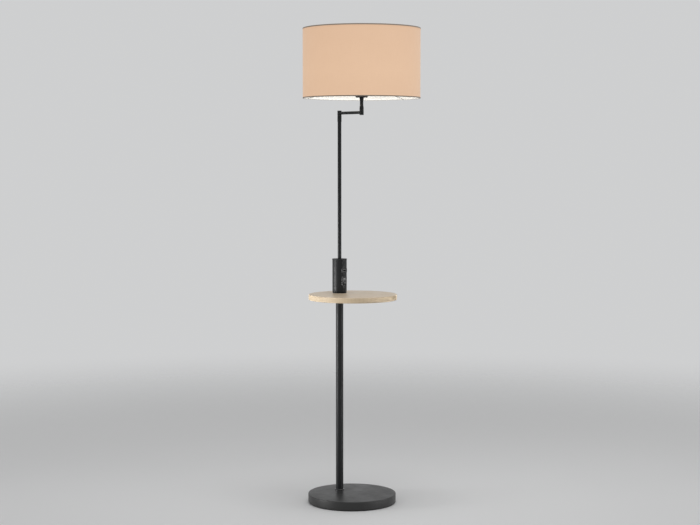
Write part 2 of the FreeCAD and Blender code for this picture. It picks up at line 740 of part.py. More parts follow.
def make_switch():
    """A rocker switch: frame with pivot holes, rocker, contact block and terminals."""
    centre = table_top_height + size.switch_height
    pivot = frame_front - size.rocker_pivot_depth
    frame = new_body("switch_frame", y=pole, z=centre)
    add_frame_flange(frame, size.switch_width, size.switch_length)
    nose = rectangle(size.switch_width, size.switch_length, corner=size.frame_corner)
    extrude(frame, "XZ", [nose], -frame_front, -frame_back)
    opening = rectangle(size.rocker_width + 2 * size.rocker_play,
                        size.rocker_length + 2 * size.rocker_end_play)
    cut(frame, "XZ", [opening], -frame_front, -frame_back)
    pin_reach = size.rocker_width / 2 + size.rocker_pin_length
    hole_reach = pin_reach + size.rocker_pin_play
    pin_hole = circle(size.rocker_pin + size.rocker_pin_play, across=-pivot)
    cut(frame, "YZ", [pin_hole], -hole_reach, hole_reach)
    keep(frame)

    rocker = new_body("rocker", y=pole - pivot, z=centre)
    half = size.rocker_length / 2
    heel = size.rocker_pin / 2 + size.rocker_heel
    tilt = size.rocker_travel / 2
    rise = Size(math.tan(math.radians(tilt)), f"tan({tilt.formula} * 1 deg)") * half
    face_end = size.rocker_crest + rise
    paddle = outline((-size.rocker_crest, 0), (-face_end, half), (heel, half - size.rocker_taper),
                     (heel, size.rocker_taper - half), (-face_end, -half))
    extrude(rocker, "YZ", [paddle], -size.rocker_width / 2, size.rocker_width / 2)
    extrude(rocker, "YZ", [circle(size.rocker_pin)], -pin_reach, pin_reach)
    rocker.Placement = Placement(rocker.Placement.Base, Rotation(Vector(-1, 0, 0), float(tilt)))
    bind(rocker, "Placement.Rotation.Angle", tilt)
    keep(rocker)

    block_back = frame_back - size.switch_body_depth
    block = new_body("switch_body", y=pole, z=centre)
    block_outline = rectangle(size.rocker_width + 2 * size.flange_lap,
                              size.rocker_length + 2 * size.flange_lap)
    extrude(block, "XZ", [block_outline], -frame_back, -block_back)
    keep(block)
    terminals = []
    for number, step in enumerate((-1, 0, 1), start=1):
        tab = new_body(f"terminal_{number}", y=pole, z=centre + step * size.terminal_pitch)
        tab_outline = rectangle(size.terminal_width, size.terminal_thickness)
        extrude(tab, "XZ", [tab_outline], -block_back, size.terminal_length - block_back)
        terminals.append(tab)
    keep_together("switch_terminals", terminals)


def make_charging_socket():
    """A charging socket: frame, metal shell, contact tongue, board and power converter."""
    centre = table_top_height + size.usb_height
    shell_front = frame_front - size.usb_sheet
    shell_back = shell_front - size.usb_depth
    frame = new_body("usb_frame", y=pole, z=centre)
    add_frame_flange(frame, size.usb_frame_width, size.usb_frame_length)
    nose = rectangle(size.usb_frame_width, size.usb_frame_length, corner=size.frame_corner)
    extrude(frame, "XZ", [nose], -frame_front, -frame_back)
    opening = rectangle(size.usb_width + size.slip_fit, size.usb_thickness + size.slip_fit)
    cut(frame, "XZ", [opening], -frame_front, -frame_back)
    keep(frame)

    shell = new_body("usb_shell", y=pole, z=centre)
    extrude(shell, "XZ", [rectangle(size.usb_width, size.usb_thickness)],
            -shell_front, -shell_back)
    hollow_width = size.usb_width - 2 * size.usb_sheet
    hollow = rectangle(hollow_width, size.usb_thickness - 2 * size.usb_sheet)
    cut(shell, "XZ", [hollow], -shell_front, -shell_back - size.usb_sheet)
    keep(shell)

    tongue = new_body("usb_tongue", y=pole, z=centre)
    tongue_back = shell_back + size.usb_sheet
    tongue_outline = rectangle(hollow_width - 2 * size.usb_tongue_play, size.usb_tongue_thickness,
                               up=size.usb_tongue_rise)
    extrude(tongue, "XZ", [tongue_outline], -tongue_back - size.usb_tongue_length, -tongue_back)
    keep(tongue)

    board_top = -size.usb_thickness / 2
    board_under = board_top - size.board_thickness
    board = new_body("usb_board", y=pole, z=centre)
    extrude(board, "XZ", [rectangle(size.board_width, size.board_thickness,
                                    up=(board_top + board_under) / 2)],
            -frame_back, size.board_depth - frame_back)
    keep(board)
    converter = new_body("usb_converter", y=pole, z=centre)
    extrude(converter, "XZ", [rectangle(size.converter_width, size.converter_height,
                                        up=board_under - size.converter_height / 2)],
            -size.converter_depth / 2, size.converter_depth / 2)
    keep(converter)


# ---------------------------------------------------------------------------------------------
# Arm: a short tube between two round knuckles, each held by a hollow pivot
# ---------------------------------------------------------------------------------------------

def make_swivel(name, y, closed_end, arm_side):
    """One knuckle with its cap, pivot and washer.

    `closed_end` is 1 where the knuckle's cap is up and -1 where it is down; `arm_side` is 1
    where the arm leaves the knuckle to the rear and -1 where it leaves to the front.
    """
    def level(distance):
        return arm_axis + distance * closed_end

    outside = size.fitting_diameter / 2
    cavity = size.knuckle_cavity / 2
    hole = (size.pivot_diameter + size.pivot_play) / 2
    floor = size.knuckle_floor - size.knuckle_near
    cap_seat = size.knuckle_far - size.knuckle_cap
    knuckle = new_body(f"arm_knuckle_{name}", y)
    turn(knuckle,
         (hole, level(-size.knuckle_near)), (outside, level(-size.knuckle_near), size.knuckle_edge),
         (outside, level(cap_seat)), (cavity, level(cap_seat)),
         (cavity, level(floor)), (hole, level(floor)))
    socket = circle(size.arm_diameter + 2 * size.glue_line, up=arm_axis)
    reach = size.fitting_diameter
    cut(knuckle, "XZ", [socket], *((0, reach) if arm_side > 0 else (-reach, 0)))
    keep(knuckle)

    plug = cavity - size.glue_line
    plug_end = cap_seat - size.knuckle_cap
    turned(f"arm_knuckle_{name}_cap",
           (0, level(plug_end)), (plug, level(plug_end)), (plug, level(cap_seat)),
           (outside, level(cap_seat)), (outside, level(size.knuckle_far), size.knuckle_edge),
           (0, level(size.knuckle_far)), y=y)

    bore = size.pivot_bore / 2
    shank = size.pivot_diameter / 2
    screwed_end = -size.knuckle_near - size.swivel_gap - size.pivot_grip
    turned(f"{name}_pivot",
           (bore, level(screwed_end)), (shank, level(screwed_end)),
           (shank, level(-pivot_head_near)), (size.pivot_head / 2, level(-pivot_head_near)),
           (size.pivot_head / 2, level(-pivot_head_far)), (bore, level(-pivot_head_far)), y=y)


def make_swivel_washer(name, y, under):
    """A thin slide washer that rests on the lower face of a swivel."""
    sleeve(f"{name}_pivot_washer", size.fitting_diameter - 2 * size.knuckle_edge,
           size.pivot_diameter + size.pivot_play, under, under + size.swivel_washer, y=y)


def make_arm_tube():
    """The arm: a tube whose ends are cut round to the inside of the two knuckles."""
    body = new_body("arm_tube", pole, arm_axis)
    bore = size.arm_diameter - 2 * size.arm_wall
    extrude(body, "XZ", [circle(size.arm_diameter), circle(bore)], -size.arm_reach, 0)
    end = size.knuckle_cavity + 2 * size.arm_inset
    notches = [circle(end), circle(end, up=-size.arm_reach)]
    cut(body, "XY", notches, -size.arm_diameter, size.arm_diameter)
    keep(body)


def make_leads():
    """The lead inside the pole, the arm and the stem, in three lengths that meet at the swivels."""
    rod("lead_upper", size.lead_diameter, cap_nut_under - size.plug_length,
        arm_axis - size.lead_bend - size.lead_gap, y=pole)
    rod("lead_head", size.lead_diameter, arm_axis + size.lead_bend + size.lead_gap,
        cup_top - size.thread_end, y=head)
    body = new_body("lead_arm", pole, arm_axis)
    bend = size.lead_bend
    far = size.arm_reach
    route = open_path((0, -bend), Arc(bend, True), (-bend, 0), (bend - far, 0),
                      Arc(bend, False), (-far, bend))
    pipe = body.newObject("PartDesign::AdditivePipe", "lead_arm_pipe")
    pipe.Profile = new_sketch(body, "XY", [circle(size.lead_diameter)], -bend)
    pipe.Spine = (new_sketch(body, "YZ", [route]), ["Edge1", "Edge2", "Edge3"])
    keep(body)


# ---------------------------------------------------------------------------------------------
# Lamp holder and bulb
# ---------------------------------------------------------------------------------------------

def make_stem():
    """The turned stem: a tapped foot on the swivel, a drawn-in waist and a threaded top."""
    outside = size.fitting_diameter / 2
    tapped = (size.pivot_diameter + size.thread_play) / 2
    bore = size.lead_bore / 2
    thread = size.thread_diameter / 2
    shoulder = stem_foot + size.pivot_grip + size.thread_end
    waist = size.stem_waist / 2
    foot_taper = stem_foot + size.stem_end
    top_taper = cup_under - size.stem_collar
    turned("head_stem",
           (tapped, stem_foot), (outside, stem_foot, size.knuckle_edge),
           (outside, foot_taper), (waist, foot_taper + size.stem_taper),
           (waist, top_taper - size.stem_taper), (outside, top_taper),
           (outside, cup_under), (thread, cup_under), (thread, stem_top), (bore, stem_top),
           (bore, shoulder), (tapped, shoulder), y=head)


def make_lamp_holder():
    hole = size.clearance_hole / 2
    outside = size.cup_diameter / 2
    inside = cup_inside / 2
    turned("holder_cup",
           (hole, cup_under), (outside, cup_under, size.cup_edge), (outside, cup_top),
           (inside, cup_top), (inside, holder_nut_under, size.cup_edge - size.cup_sheet),
           (hole, holder_nut_under), y=head)
    keep(nut("holder_nut", holder_nut_under, head))
    sleeve("holder_core", cup_inside - size.slip_fit, size.core_bore, stem_top, cup_top, y=head)
    disc = new_body("contact_disc", head)
    extrude(disc, "XY", [circle(size.contact_disc)], cup_top, bulb_foot)
    shell = new_body("contact_sleeve", head)
    shell_bore = size.contact_shell - 2 * size.contact_sheet
    extrude(shell, "XY", [circle(size.contact_shell), circle(shell_bore)],
            cup_top, cup_top + size.contact_length)
    keep_together("holder_contacts", [disc, shell])
    sleeve("holder_skirt", size.skirt_diameter, size.contact_shell + size.slip_fit,
           cup_top, cup_top + size.skirt_height, y=head)
    ring_bore = size.skirt_diameter + size.slip_fit
    sleeve("shade_ring_lower", size.shade_ring_diameter, ring_bore,
           carrier_under - size.shade_ring_height, carrier_under, y=head)
    sleeve("shade_ring_upper", size.shade_ring_diameter, ring_bore,
           carrier_top, carrier_top + size.shade_ring_height, y=head, edge=size.knuckle_edge)


# The globe's outline turns by this many degrees at each of its points, from two steps below
# its widest place to one step below its top.
GLOBE_STEP = 15
GLOBE_STEPS = range(-2, 6)


def make_bulb():
    """A globe bulb: screw cap, cone and an opal globe, sealed together."""
    cap = size.bulb_cap_diameter / 2
    tip = size.bulb_tip_diameter / 2
    tip_top = bulb_foot + size.bulb_tip_height
    turned("bulb_cap",
           (0, bulb_foot), (tip, bulb_foot), (cap, tip_top), (cap, bulb_cap_top),
           (0, bulb_cap_top), y=head)
    neck = size.bulb_neck / 2
    turned("bulb_base",
           (0, bulb_cap_top), (cap, bulb_cap_top), (neck, bulb_base_top), (0, bulb_base_top), y=head)
    globe = size.bulb_diameter / 2
    centre = bulb_base_top + root(globe * globe - neck * neck)
    angles = [math.radians(GLOBE_STEP * step) for step in GLOBE_STEPS]
    turned("bulb_globe",
           (0, bulb_base_top), (neck, bulb_base_top),
           *[(globe * math.cos(angle), centre + globe * math.sin(angle)) for angle in angles],
           (0, centre + globe), y=head)


# ---------------------------------------------------------------------------------------------
# Shade: fabric on a stiff liner, wire rings, and a three-armed carrier on the lamp holder
# ---------------------------------------------------------------------------------------------

def add_sloping_bar(body, diameter, start, end):
    """A round bar that falls from one (radius, height) point to a wider, lower one."""
    out, down = end[0] - start[0], start[1] - end[1]
    lean = Size(90 + math.degrees(math.atan(down / out)),
                f"(90 deg + atan({down.formula} / {out.formula}))")
    bar = body.newObject("PartDesign::AdditiveCylinder", f"{body.Label}_bar")
    bar.AttachmentSupport = [(origin_item(body, "XY_Plane"), "")]
    bar.MapMode = "FlatFace"
    bar.AttachmentOffset = Placement(Vector(float(start[0]), 0, float(start[1])),
                                     Rotation(Vector(0, 1, 0), float(lean)))
    bar.Radius = float(diameter) / 2
    bar.Height = float(root(out * out + down * down))
    bind(bar, "AttachmentOffset.Base.x", start[0])
    bind(bar, "AttachmentOffset.Base.z", start[1])
    bind(bar, "AttachmentOffset.Rotation.Angle", lean)
    bind(bar, "Radius", diameter / 2)
    bind(bar, "Height", root(out * out + down * down))
    return bar


def make_shade_carrier():
    """Centre ring, three sloping wire arms and the lower wire ring, welded into one piece."""
    body = new_body("shade_carrier", head)
    ring_bore = size.skirt_diameter + size.slip_fit
    extrude(body, "XY", [circle(size.carrier_diameter), circle(ring_bore)],
            carrier_under, carrier_top)
    arm_start = (size.shade_ring_diameter / 2 + size.wire_arm_diameter / 2,
                 carrier_under - size.wire_arm_diameter / 4)
    arm_end = (wire_ring, shade_bottom + size.wire_inset + wire_radius)
    spin(body, new_sketch(body, "XZ", [wire_section(*arm_end)]))
    arm = add_sloping_bar(body, size.wire_arm_diameter, arm_start, arm_end)
    document.recompute()
    pattern = body.newObject("PartDesign::PolarPattern", "wire_arms")
    pattern.Originals = [arm]
    pattern.Axis = (origin_item(body, "Z_Axis"), [""])
    pattern.Angle = 360
    pattern.Occurrences = int(size.wire_arms)
    bind(pattern, "Occurrences", size.wire_arms)
    body.Tip = pattern
    keep(body)


def make_shade():
    outside = size.shade_diameter
    sleeve("shade_fabric", 2 * fabric_outside, 2 * fabric_inside, shade_bottom, shade_top, y=head)
    sleeve("shade_liner", 2 * liner_outside, 2 * liner_inside, shade_bottom, shade_top, y=head)
    sleeve("shade_hem_bottom", outside, 2 * hem_inside,
           shade_bottom, shade_bottom + size.hem_height, y=head)
    sleeve("shade_hem_top", outside, 2 * hem_inside,
           shade_top - size.hem_height, shade_top, y=head)
    top_ring = new_body("shade_top_ring", head)
    section = wire_section(wire_ring, shade_top - size.wire_inset - wire_radius)
    spin(top_ring, new_sketch(top_ring, "XZ", [section]))
    keep(top_ring)


# ---------------------------------------------------------------------------------------------
# Build everything, test it and write it out
# ---------------------------------------------------------------------------------------------

def check_and_write():
    """Stop on any failed object or shape, and write each sub-part to its own file."""
    document.recompute()
    for thing in document.Objects:
        if {"Invalid", "Error"} & set(thing.State):
            raise RuntimeError(f"{thing.Label} failed: {thing.State}")
    os.makedirs("parts", exist_ok=True)
    for thing in nodes:
        if thing.Shape.isNull() or not thing.Shape.isValid():
            raise RuntimeError(f"{thing.Label} has no valid shape")
    for thing in nodes:
        thing.Shape.exportStep(f"parts/{thing.Label}.step")
    print(f"{len(nodes)} sub-parts written")


make_foot_ring()
make_base_weight()
make_base_cover()
make_cable_grommet()
make_foot_clamp()
make_clamp_nuts()
make_lower_pole()
make_table()
make_upper_pole()
make_console_housing()
make_console_ends()
make_switch()
make_charging_socket()
make_swivel("pole", pole, 1, -1)
make_swivel_washer("pole", pole, fitting_top)
make_arm_tube()
make_swivel("head", head, -1, 1)
make_swivel_washer("head", head, arm_axis + size.knuckle_near)
make_leads()
make_stem()
make_lamp_holder()
make_bulb()
make_shade_carrier()
make_shade()
check_and_write()
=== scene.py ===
import json
import math

import bmesh
import bpy
from mathutils import Matrix, Vector


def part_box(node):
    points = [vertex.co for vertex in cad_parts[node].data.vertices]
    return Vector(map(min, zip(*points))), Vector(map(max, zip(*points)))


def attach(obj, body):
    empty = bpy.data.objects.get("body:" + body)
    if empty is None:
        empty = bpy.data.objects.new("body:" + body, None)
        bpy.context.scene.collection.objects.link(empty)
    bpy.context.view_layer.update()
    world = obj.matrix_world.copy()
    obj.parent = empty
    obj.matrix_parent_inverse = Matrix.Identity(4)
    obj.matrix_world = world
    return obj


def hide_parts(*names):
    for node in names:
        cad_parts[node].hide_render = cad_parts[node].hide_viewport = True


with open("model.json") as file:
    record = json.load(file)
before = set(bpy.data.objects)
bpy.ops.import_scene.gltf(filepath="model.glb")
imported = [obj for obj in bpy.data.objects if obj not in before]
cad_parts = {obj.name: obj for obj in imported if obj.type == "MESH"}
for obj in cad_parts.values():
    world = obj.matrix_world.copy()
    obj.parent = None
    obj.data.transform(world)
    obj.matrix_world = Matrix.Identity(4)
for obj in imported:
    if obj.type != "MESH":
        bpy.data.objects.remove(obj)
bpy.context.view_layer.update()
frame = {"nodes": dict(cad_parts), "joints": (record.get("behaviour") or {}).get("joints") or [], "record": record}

# A floor lamp with a round wooden table on its pole and a drum shade on a swivelling arm.
# Lengths are in metres; MM turns a size in millimetres into metres.
MM = 0.001

# Two lengths that differ by less than this are the same.
HAIR = 0.001 * MM


# ---------------------------------------------------------------------------------------------
# Camera, floor and studio light
# ---------------------------------------------------------------------------------------------

# Where the photographer stood, found by matching the lamp's edges. The lens is in millimetres.
CAMERA_AZIMUTH = math.radians(-41.1)
CAMERA_PITCH = math.radians(-3.883)
CAMERA_HEIGHT = 1.170
CAMERA_BEFORE_POLE = 5.234
CAMERA_RIGHT_OF_POLE = 0.0356
CAMERA_LENS = 79.15

# The floor fades into the backdrop between these distances from the lamp.
FLOOR_FADE = (1.3, 4.2)
FLOOR_COLOUR = (0.78, 0.785, 0.79, 1)
BACKDROP = (0.62, 0.625, 0.63, 1)
ROOM_LIGHT = 0.33


def upright_axis(node):
    """Where the axis of a round upright CAD node stands."""
    low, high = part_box(node)
    return Vector(((low.x + high.x) / 2, (low.y + high.y) / 2, 0))


def radii(node):
    """The outer radius, lowest and highest height of a round upright CAD node."""
    low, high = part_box(node)
    return (high.x - low.x) / 2, low.z, high.z


POLE = upright_axis("lower_tube")
HEAD = upright_axis("shade_fabric")


def make_camera():
    """The camera where the photographer stood, looking a little down."""
    forward = Vector((-math.sin(CAMERA_AZIMUTH), math.cos(CAMERA_AZIMUTH), 0))
    right = Vector((math.cos(CAMERA_AZIMUTH), math.sin(CAMERA_AZIMUTH), 0))
    data = bpy.data.cameras.new("camera")
    data.lens = CAMERA_LENS
    camera = bpy.data.objects.new("camera", data)
    camera.location = POLE - forward * CAMERA_BEFORE_POLE + right * CAMERA_RIGHT_OF_POLE
    camera.location.z = CAMERA_HEIGHT
    camera.rotation_euler = (math.pi / 2 + CAMERA_PITCH, 0, CAMERA_AZIMUTH)
    bpy.context.scene.collection.objects.link(camera)
    bpy.context.scene.camera = camera


def make_softbox(name, azimuth, distance, height, aim, size, power, beam=180, lights=True,
                 mirrored=True):
    """A soft light that faces the lamp `aim` metres above the floor.

    The azimuth and the beam's width are in degrees, and the power is in watts. `lights` and
    `mirrored` say whether surfaces are lit by it and whether they mirror it.
    """
    angle = math.radians(azimuth)
    data = bpy.data.lights.new(name, "AREA")
    data.shape = "RECTANGLE"
    data.size, data.size_y = size
    data.energy = power
    data.spread = math.radians(beam)
    light = bpy.data.objects.new(name, data)
    light.location = (math.sin(angle) * distance, -math.cos(angle) * distance, height)
    facing = Vector((0, 0, aim)) - light.location
    light.rotation_mode = "QUATERNION"
    light.rotation_quaternion = facing.to_track_quat("-Z", "Y")
    light.visible_diffuse = lights
    light.visible_glossy = mirrored
    bpy.context.scene.collection.objects.link(light)


def make_studio():
    """Two low softboxes beside the lamp, one overhead, and an even pale room.

    A broad dim card takes the right softbox's place wherever a surface mirrors it.
    """
    make_softbox("left window", azimuth=-118, distance=3.0, height=0.45, aim=0.55,
                 size=(1.3, 0.5), power=4.2, beam=28)
    make_softbox("right window", azimuth=34, distance=3.2, height=0.45, aim=0.55,
                 size=(1.2, 0.5), power=1.9, beam=28, mirrored=False)
    make_softbox("right card", azimuth=34, distance=3.2, height=0.40, aim=0.50,
                 size=(3.4, 0.56), power=23, lights=False)
    make_softbox("overhead light", azimuth=-20, distance=0.5, height=3.6, aim=0.80,
                 size=(2.4, 2.4), power=52)
    world = bpy.data.worlds.new("studio")
    bpy.context.scene.world = world
    world.use_nodes = True
    tree = world.node_tree
    tree.nodes.clear()
    rays = place(tree, "LightPath").outputs
    seen = calculate(tree, "MAXIMUM", rays["Is Camera Ray"], rays["Is Glossy Ray"])
    seen = calculate(tree, "MAXIMUM", seen, rays["Is Transmission Ray"])
    light = place(tree, "Background", {"Color": (1, 1, 1, 1), "Strength": ROOM_LIGHT}).outputs[0]
    backdrop = place(tree, "Background", {"Color": BACKDROP, "Strength": 1.0}).outputs[0]
    both = place(tree, "MixShader", {0: seen, 1: light, 2: backdrop}).outputs[0]
    place(tree, "OutputWorld", {"Surface": both})
    bpy.context.scene.view_settings.view_transform = "Standard"


def make_floor():
    """A plain pale floor that melts into the backdrop and hides nothing from below.

    It shows and it takes the lamp's shadow, and the room's own light reaches the lamp through it.
    """
    material = bpy.data.materials.new("pale floor")
    material.use_nodes = True
    tree = material.node_tree
    skin = tree.nodes["Principled BSDF"]
    skin.inputs["Base Color"].default_value = FLOOR_COLOUR
    skin.inputs["Roughness"].default_value = 0.75
    distance = place(tree, "VectorMath", {0: object_place(tree)}, operation="LENGTH")
    far = place(tree, "MapRange", {"Value": distance.outputs["Value"],
                                   "From Min": FLOOR_FADE[0], "From Max": FLOOR_FADE[1]},
                interpolation_type="SMOOTHSTEP").outputs["Result"]
    under = place(tree, "NewGeometry").outputs["Backfacing"]
    rays = place(tree, "LightPath").outputs
    unseen = calculate(tree, "MAXIMUM", rays["Is Diffuse Ray"], rays["Is Shadow Ray"])
    gone = calculate(tree, "MAXIMUM", calculate(tree, "MAXIMUM", far, under), unseen)
    clear = place(tree, "BsdfTransparent").outputs[0]
    both = place(tree, "MixShader", {0: gone, 1: skin.outputs[0], 2: clear}).outputs[0]
    tree.links.new(both, tree.nodes["Material Output"].inputs["Surface"])
    rim = [(*point, 0) for point in circle_points(0, 0, FLOOR_FADE[1], steps=64)]
    mesh = bpy.data.meshes.new("floor")
    mesh.from_pydata(rim, [], [range(len(rim))])
    mesh.materials.append(material)
    floor = bpy.data.objects.new("floor", mesh)
    bpy.context.scene.collection.objects.link(floor)


# ---------------------------------------------------------------------------------------------
# Shader tools and shared effects
# ---------------------------------------------------------------------------------------------

def place(tree, kind, inputs=None, **settings):
    """Add one shader node, with its settings and the value or link of each input."""
    node = tree.nodes.new(f"ShaderNode{kind}")
    for name, value in settings.items():
        setattr(node, name, value)
    for name, value in (inputs or {}).items():
        if isinstance(value, bpy.types.NodeSocket):
            tree.links.new(value, node.inputs[name])
        else:
            node.inputs[name].default_value = value
    return node


def calculate(tree, operation, first, second=0.0):
    """One step of arithmetic."""
    return place(tree, "Math", {0: first, 1: second}, operation=operation).outputs[0]


def times(tree, first, second):
    return calculate(tree, "MULTIPLY", first, second)


def plus(tree, first, second):
    return calculate(tree, "ADD", first, second)


def blend_colour(tree, share, first, second):
    """A share of the second colour over the first."""
    return place(tree, "Mix", {0: share, 6: first, 7: second}, data_type="RGBA").outputs[2]


def spread(tree, value, low, high, into_low=0.0, into_high=1.0):
    """Stretch a value from one range to another and stop at its ends."""
    return place(tree, "MapRange", {"Value": value, "From Min": low, "From Max": high,
                                    "To Min": into_low, "To Max": into_high}).outputs["Result"]


def noise(tree, where, scale, detail=3.0, roughness=0.5):
    return place(tree, "TexNoise", {"Vector": where, "Scale": scale, "Detail": detail,
                                    "Roughness": roughness}).outputs["Fac"]


def stretched(tree, where, scale):
    """Coordinates scaled by a different amount along each axis."""
    return place(tree, "VectorMath", {0: where, 1: scale}, operation="MULTIPLY").outputs[0]


def object_place(tree):
    return place(tree, "TexCoord").outputs["Object"]


def object_height(tree):
    return place(tree, "SeparateXYZ", {0: object_place(tree)}).outputs["Z"]


def new_effect(name, inputs, outputs):
    """An empty shared effect with named inputs and outputs."""
    effect = bpy.data.node_groups.new(name, "ShaderNodeTree")
    for label, value in inputs.items():
        kind = "NodeSocketVector" if isinstance(value, (tuple, Vector)) else "NodeSocketFloat"
        socket = effect.interface.new_socket(label, in_out="INPUT", socket_type=kind)
        socket.default_value = value
    for label in outputs:
        effect.interface.new_socket(label, in_out="OUTPUT", socket_type="NodeSocketFloat")
    return (effect, effect.nodes.new("NodeGroupInput").outputs,
            effect.nodes.new("NodeGroupOutput").inputs)


def use(tree, effect, **values):
    """Place a shared effect in a material, with its own values, and give its outputs."""
    node = tree.nodes.new("ShaderNodeGroup")
    node.node_tree = effect
    for label, value in values.items():
        socket = node.inputs[label.replace("_", " ")]
        if isinstance(value, bpy.types.NodeSocket):
            tree.links.new(value, socket)
        else:
            socket.default_value = value
    return node.outputs


def make_coat_grain():
    """The fine orange peel of a powder coat or of moulded plastic."""
    effect, given, result = new_effect("coat grain", {"Grains": 900.0}, ["Height", "Tone"])
    where = object_place(effect)
    cells = place(effect, "TexVoronoi", {"Vector": where, "Scale": given["Grains"]},
                  feature="F1").outputs["Distance"]
    fine = noise(effect, where, given["Grains"], detail=2.0)
    height = plus(effect, times(effect, cells, 0.6), fine)
    effect.links.new(spread(effect, height, 0.3, 1.2), result["Height"])
    effect.links.new(spread(effect, fine, 0.35, 0.65), result["Tone"])
    return effect


def make_handling_marks():
    """Broad uneven patches where hands and a duster have passed."""
    effect, given, result = new_effect("handling marks", {"Size": 14.0}, ["Mask"])
    where = object_place(effect)
    broad = noise(effect, where, given["Size"], detail=5.0, roughness=0.62)
    effect.links.new(spread(effect, broad, 0.38, 0.68), result["Mask"])
    return effect


def make_edge_rub():
    """Where an edge turns sharply and its finish is thinner."""
    effect, given, result = new_effect("edge rub", {"Width": 0.8 * MM}, ["Mask"])
    soft = place(effect, "Bevel", {"Radius": given["Width"]}, samples=2).outputs[0]
    true = place(effect, "NewGeometry").outputs["Normal"]
    alike = place(effect, "VectorMath", {0: soft, 1: true}, operation="DOT_PRODUCT")
    turned = spread(effect, alike.outputs["Value"], 0.99, 0.82)
    patches = noise(effect, object_place(effect), 120.0, detail=4.0)
    share = times(effect, turned, spread(effect, patches, 0.35, 0.65, 0.35, 1.0))
    effect.links.new(share, result["Mask"])
    return effect


def make_brushed_lines():
    """Fine lines that run round a turned metal piece."""
    effect, given, result = new_effect("brushed lines", {"Lines": 2600.0}, ["Height", "Mask"])
    where = stretched(effect, object_place(effect), (0.02, 0.02, 1.0))
    lines = noise(effect, where, given["Lines"], detail=2.0, roughness=0.7)
    effect.links.new(lines, result["Height"])
    effect.links.new(spread(effect, lines, 0.35, 0.65), result["Mask"])
    return effect


def make_plain_weave():
    """Threads that cross over and under round an upright drum, with thicker slubs."""
    effect, given, result = new_effect(
        "plain weave", {"Axis": (0.0, 0.0, 0.0), "Radius": 0.2, "Pitch": 0.6 * MM},
        ["Height", "Tone", "Slub"])
    where = place(effect, "VectorMath", {0: object_place(effect), 1: given["Axis"]},
                  operation="SUBTRACT").outputs[0]
    parts = place(effect, "SeparateXYZ", {0: where}).outputs
    angle = calculate(effect, "ARCTAN2", parts["Y"], parts["X"])
    round_the_drum = times(effect, angle, given["Radius"])
    across = calculate(effect, "DIVIDE", round_the_drum, given["Pitch"])
    up = calculate(effect, "DIVIDE", parts["Z"], given["Pitch"])

    def ridge(way):
        return calculate(effect, "ABSOLUTE",
                         calculate(effect, "SINE", times(effect, way, math.pi)))

    turns = plus(effect, calculate(effect, "FLOOR", across), calculate(effect, "FLOOR", up))
    over = calculate(effect, "FLOORED_MODULO", turns, 2.0)
    threads = place(effect, "Mix", {0: over, 2: ridge(across), 3: ridge(up)},
                    data_type="FLOAT").outputs[0]
    flat = place(effect, "CombineXYZ", {"X": round_the_drum, "Y": parts["Z"]}).outputs[0]

    def uneven(streaks, detail=2.0):
        return noise(effect, stretched(effect, flat, streaks), 1.0, detail=detail)

    weft = uneven((30.0, 900.0, 1.0))
    warp = uneven((900.0, 22.0, 1.0))
    patches = uneven((9.0, 14.0, 1.0), detail=4.0)
    yarns = plus(effect, times(effect, weft, 0.55), times(effect, warp, 0.45))
    slub = spread(effect, weft, 0.58, 0.72)
    effect.links.new(plus(effect, threads, times(effect, slub, 0.7)), result["Height"])
    tone = plus(effect, times(effect, yarns, 0.7), times(effect, patches, 0.3))
    effect.links.new(spread(effect, tone, 0.36, 0.64), result["Tone"])
    effect.links.new(slub, result["Slub"])
    return effect


# The growth rings of the board lie round the heart of its tree, a line along X that is below
# the wood and in front of the origin.
HEART_IN_FRONT = 0.02
HEART_DEPTH = math.sqrt(0.0012)
RING_LEAN = 0.10
RING_BEND = 0.055
RINGS_PER_METRE = 150.0
LATE_WOOD = 2.6


def make_wood_figure():
    """Growth rings, fibres and pores of a board whose grain runs along X."""
    effect, given, result = new_effect("wood figure", {"Rings": 1.0}, ["Rings", "Fibre", "Pore"])
    where = object_place(effect)
    bend = noise(effect, stretched(effect, where, (2.0, 7.0, 7.0)), 1.0, detail=2.0)
    parts = place(effect, "SeparateXYZ", {0: where}).outputs
    sideways = plus(effect, parts["Y"], HEART_IN_FRONT)
    square = times(effect, sideways, sideways)
    arch = calculate(effect, "SQRT", plus(effect, square, HEART_DEPTH ** 2))
    depth = plus(effect, plus(effect, arch, times(effect, parts["X"], RING_LEAN)),
                 times(effect, bend, RING_BEND))
    phase = times(effect, depth, times(effect, given["Rings"], RINGS_PER_METRE))
    late = calculate(effect, "POWER", calculate(effect, "FRACT", phase), LATE_WOOD)
    effect.links.new(late, result["Rings"])
    fibre = noise(effect, stretched(effect, where, (16.0, 900.0, 900.0)), 1.0, detail=4.0)
    effect.links.new(spread(effect, fibre, 0.32, 0.68), result["Fibre"])
    pores = noise(effect, stretched(effect, where, (140.0, 2600.0, 2600.0)), 1.0, detail=1.0)
    effect.links.new(spread(effect, pores, 0.66, 0.74), result["Pore"])
    return effect


coat_grain = make_coat_grain()
handling_marks = make_handling_marks()
edge_rub = make_edge_rub()
brushed_lines = make_brushed_lines()
plain_weave = make_plain_weave()
wood_figure = make_wood_figure()


# ---------------------------------------------------------------------------------------------
# Finishes
# ---------------------------------------------------------------------------------------------

def new_finish(name, **constants):
    """A material with its plain values set on its own sockets."""
    material = bpy.data.materials.new(name)
    material.use_nodes = True
    skin = material.node_tree.nodes["Principled BSDF"]
    for label, value in constants.items():
        skin.inputs[label.replace("_", " ")].default_value = value
    return material, material.node_tree, skin


def raise_surface(tree, skin, height, distance, strength=1.0):
    """Give the skin a relief, its height times a distance in metres."""
    bump = place(tree, "Bump", {"Height": height, "Distance": distance, "Strength": strength})
    tree.links.new(bump.outputs[0], skin.inputs["Normal"])


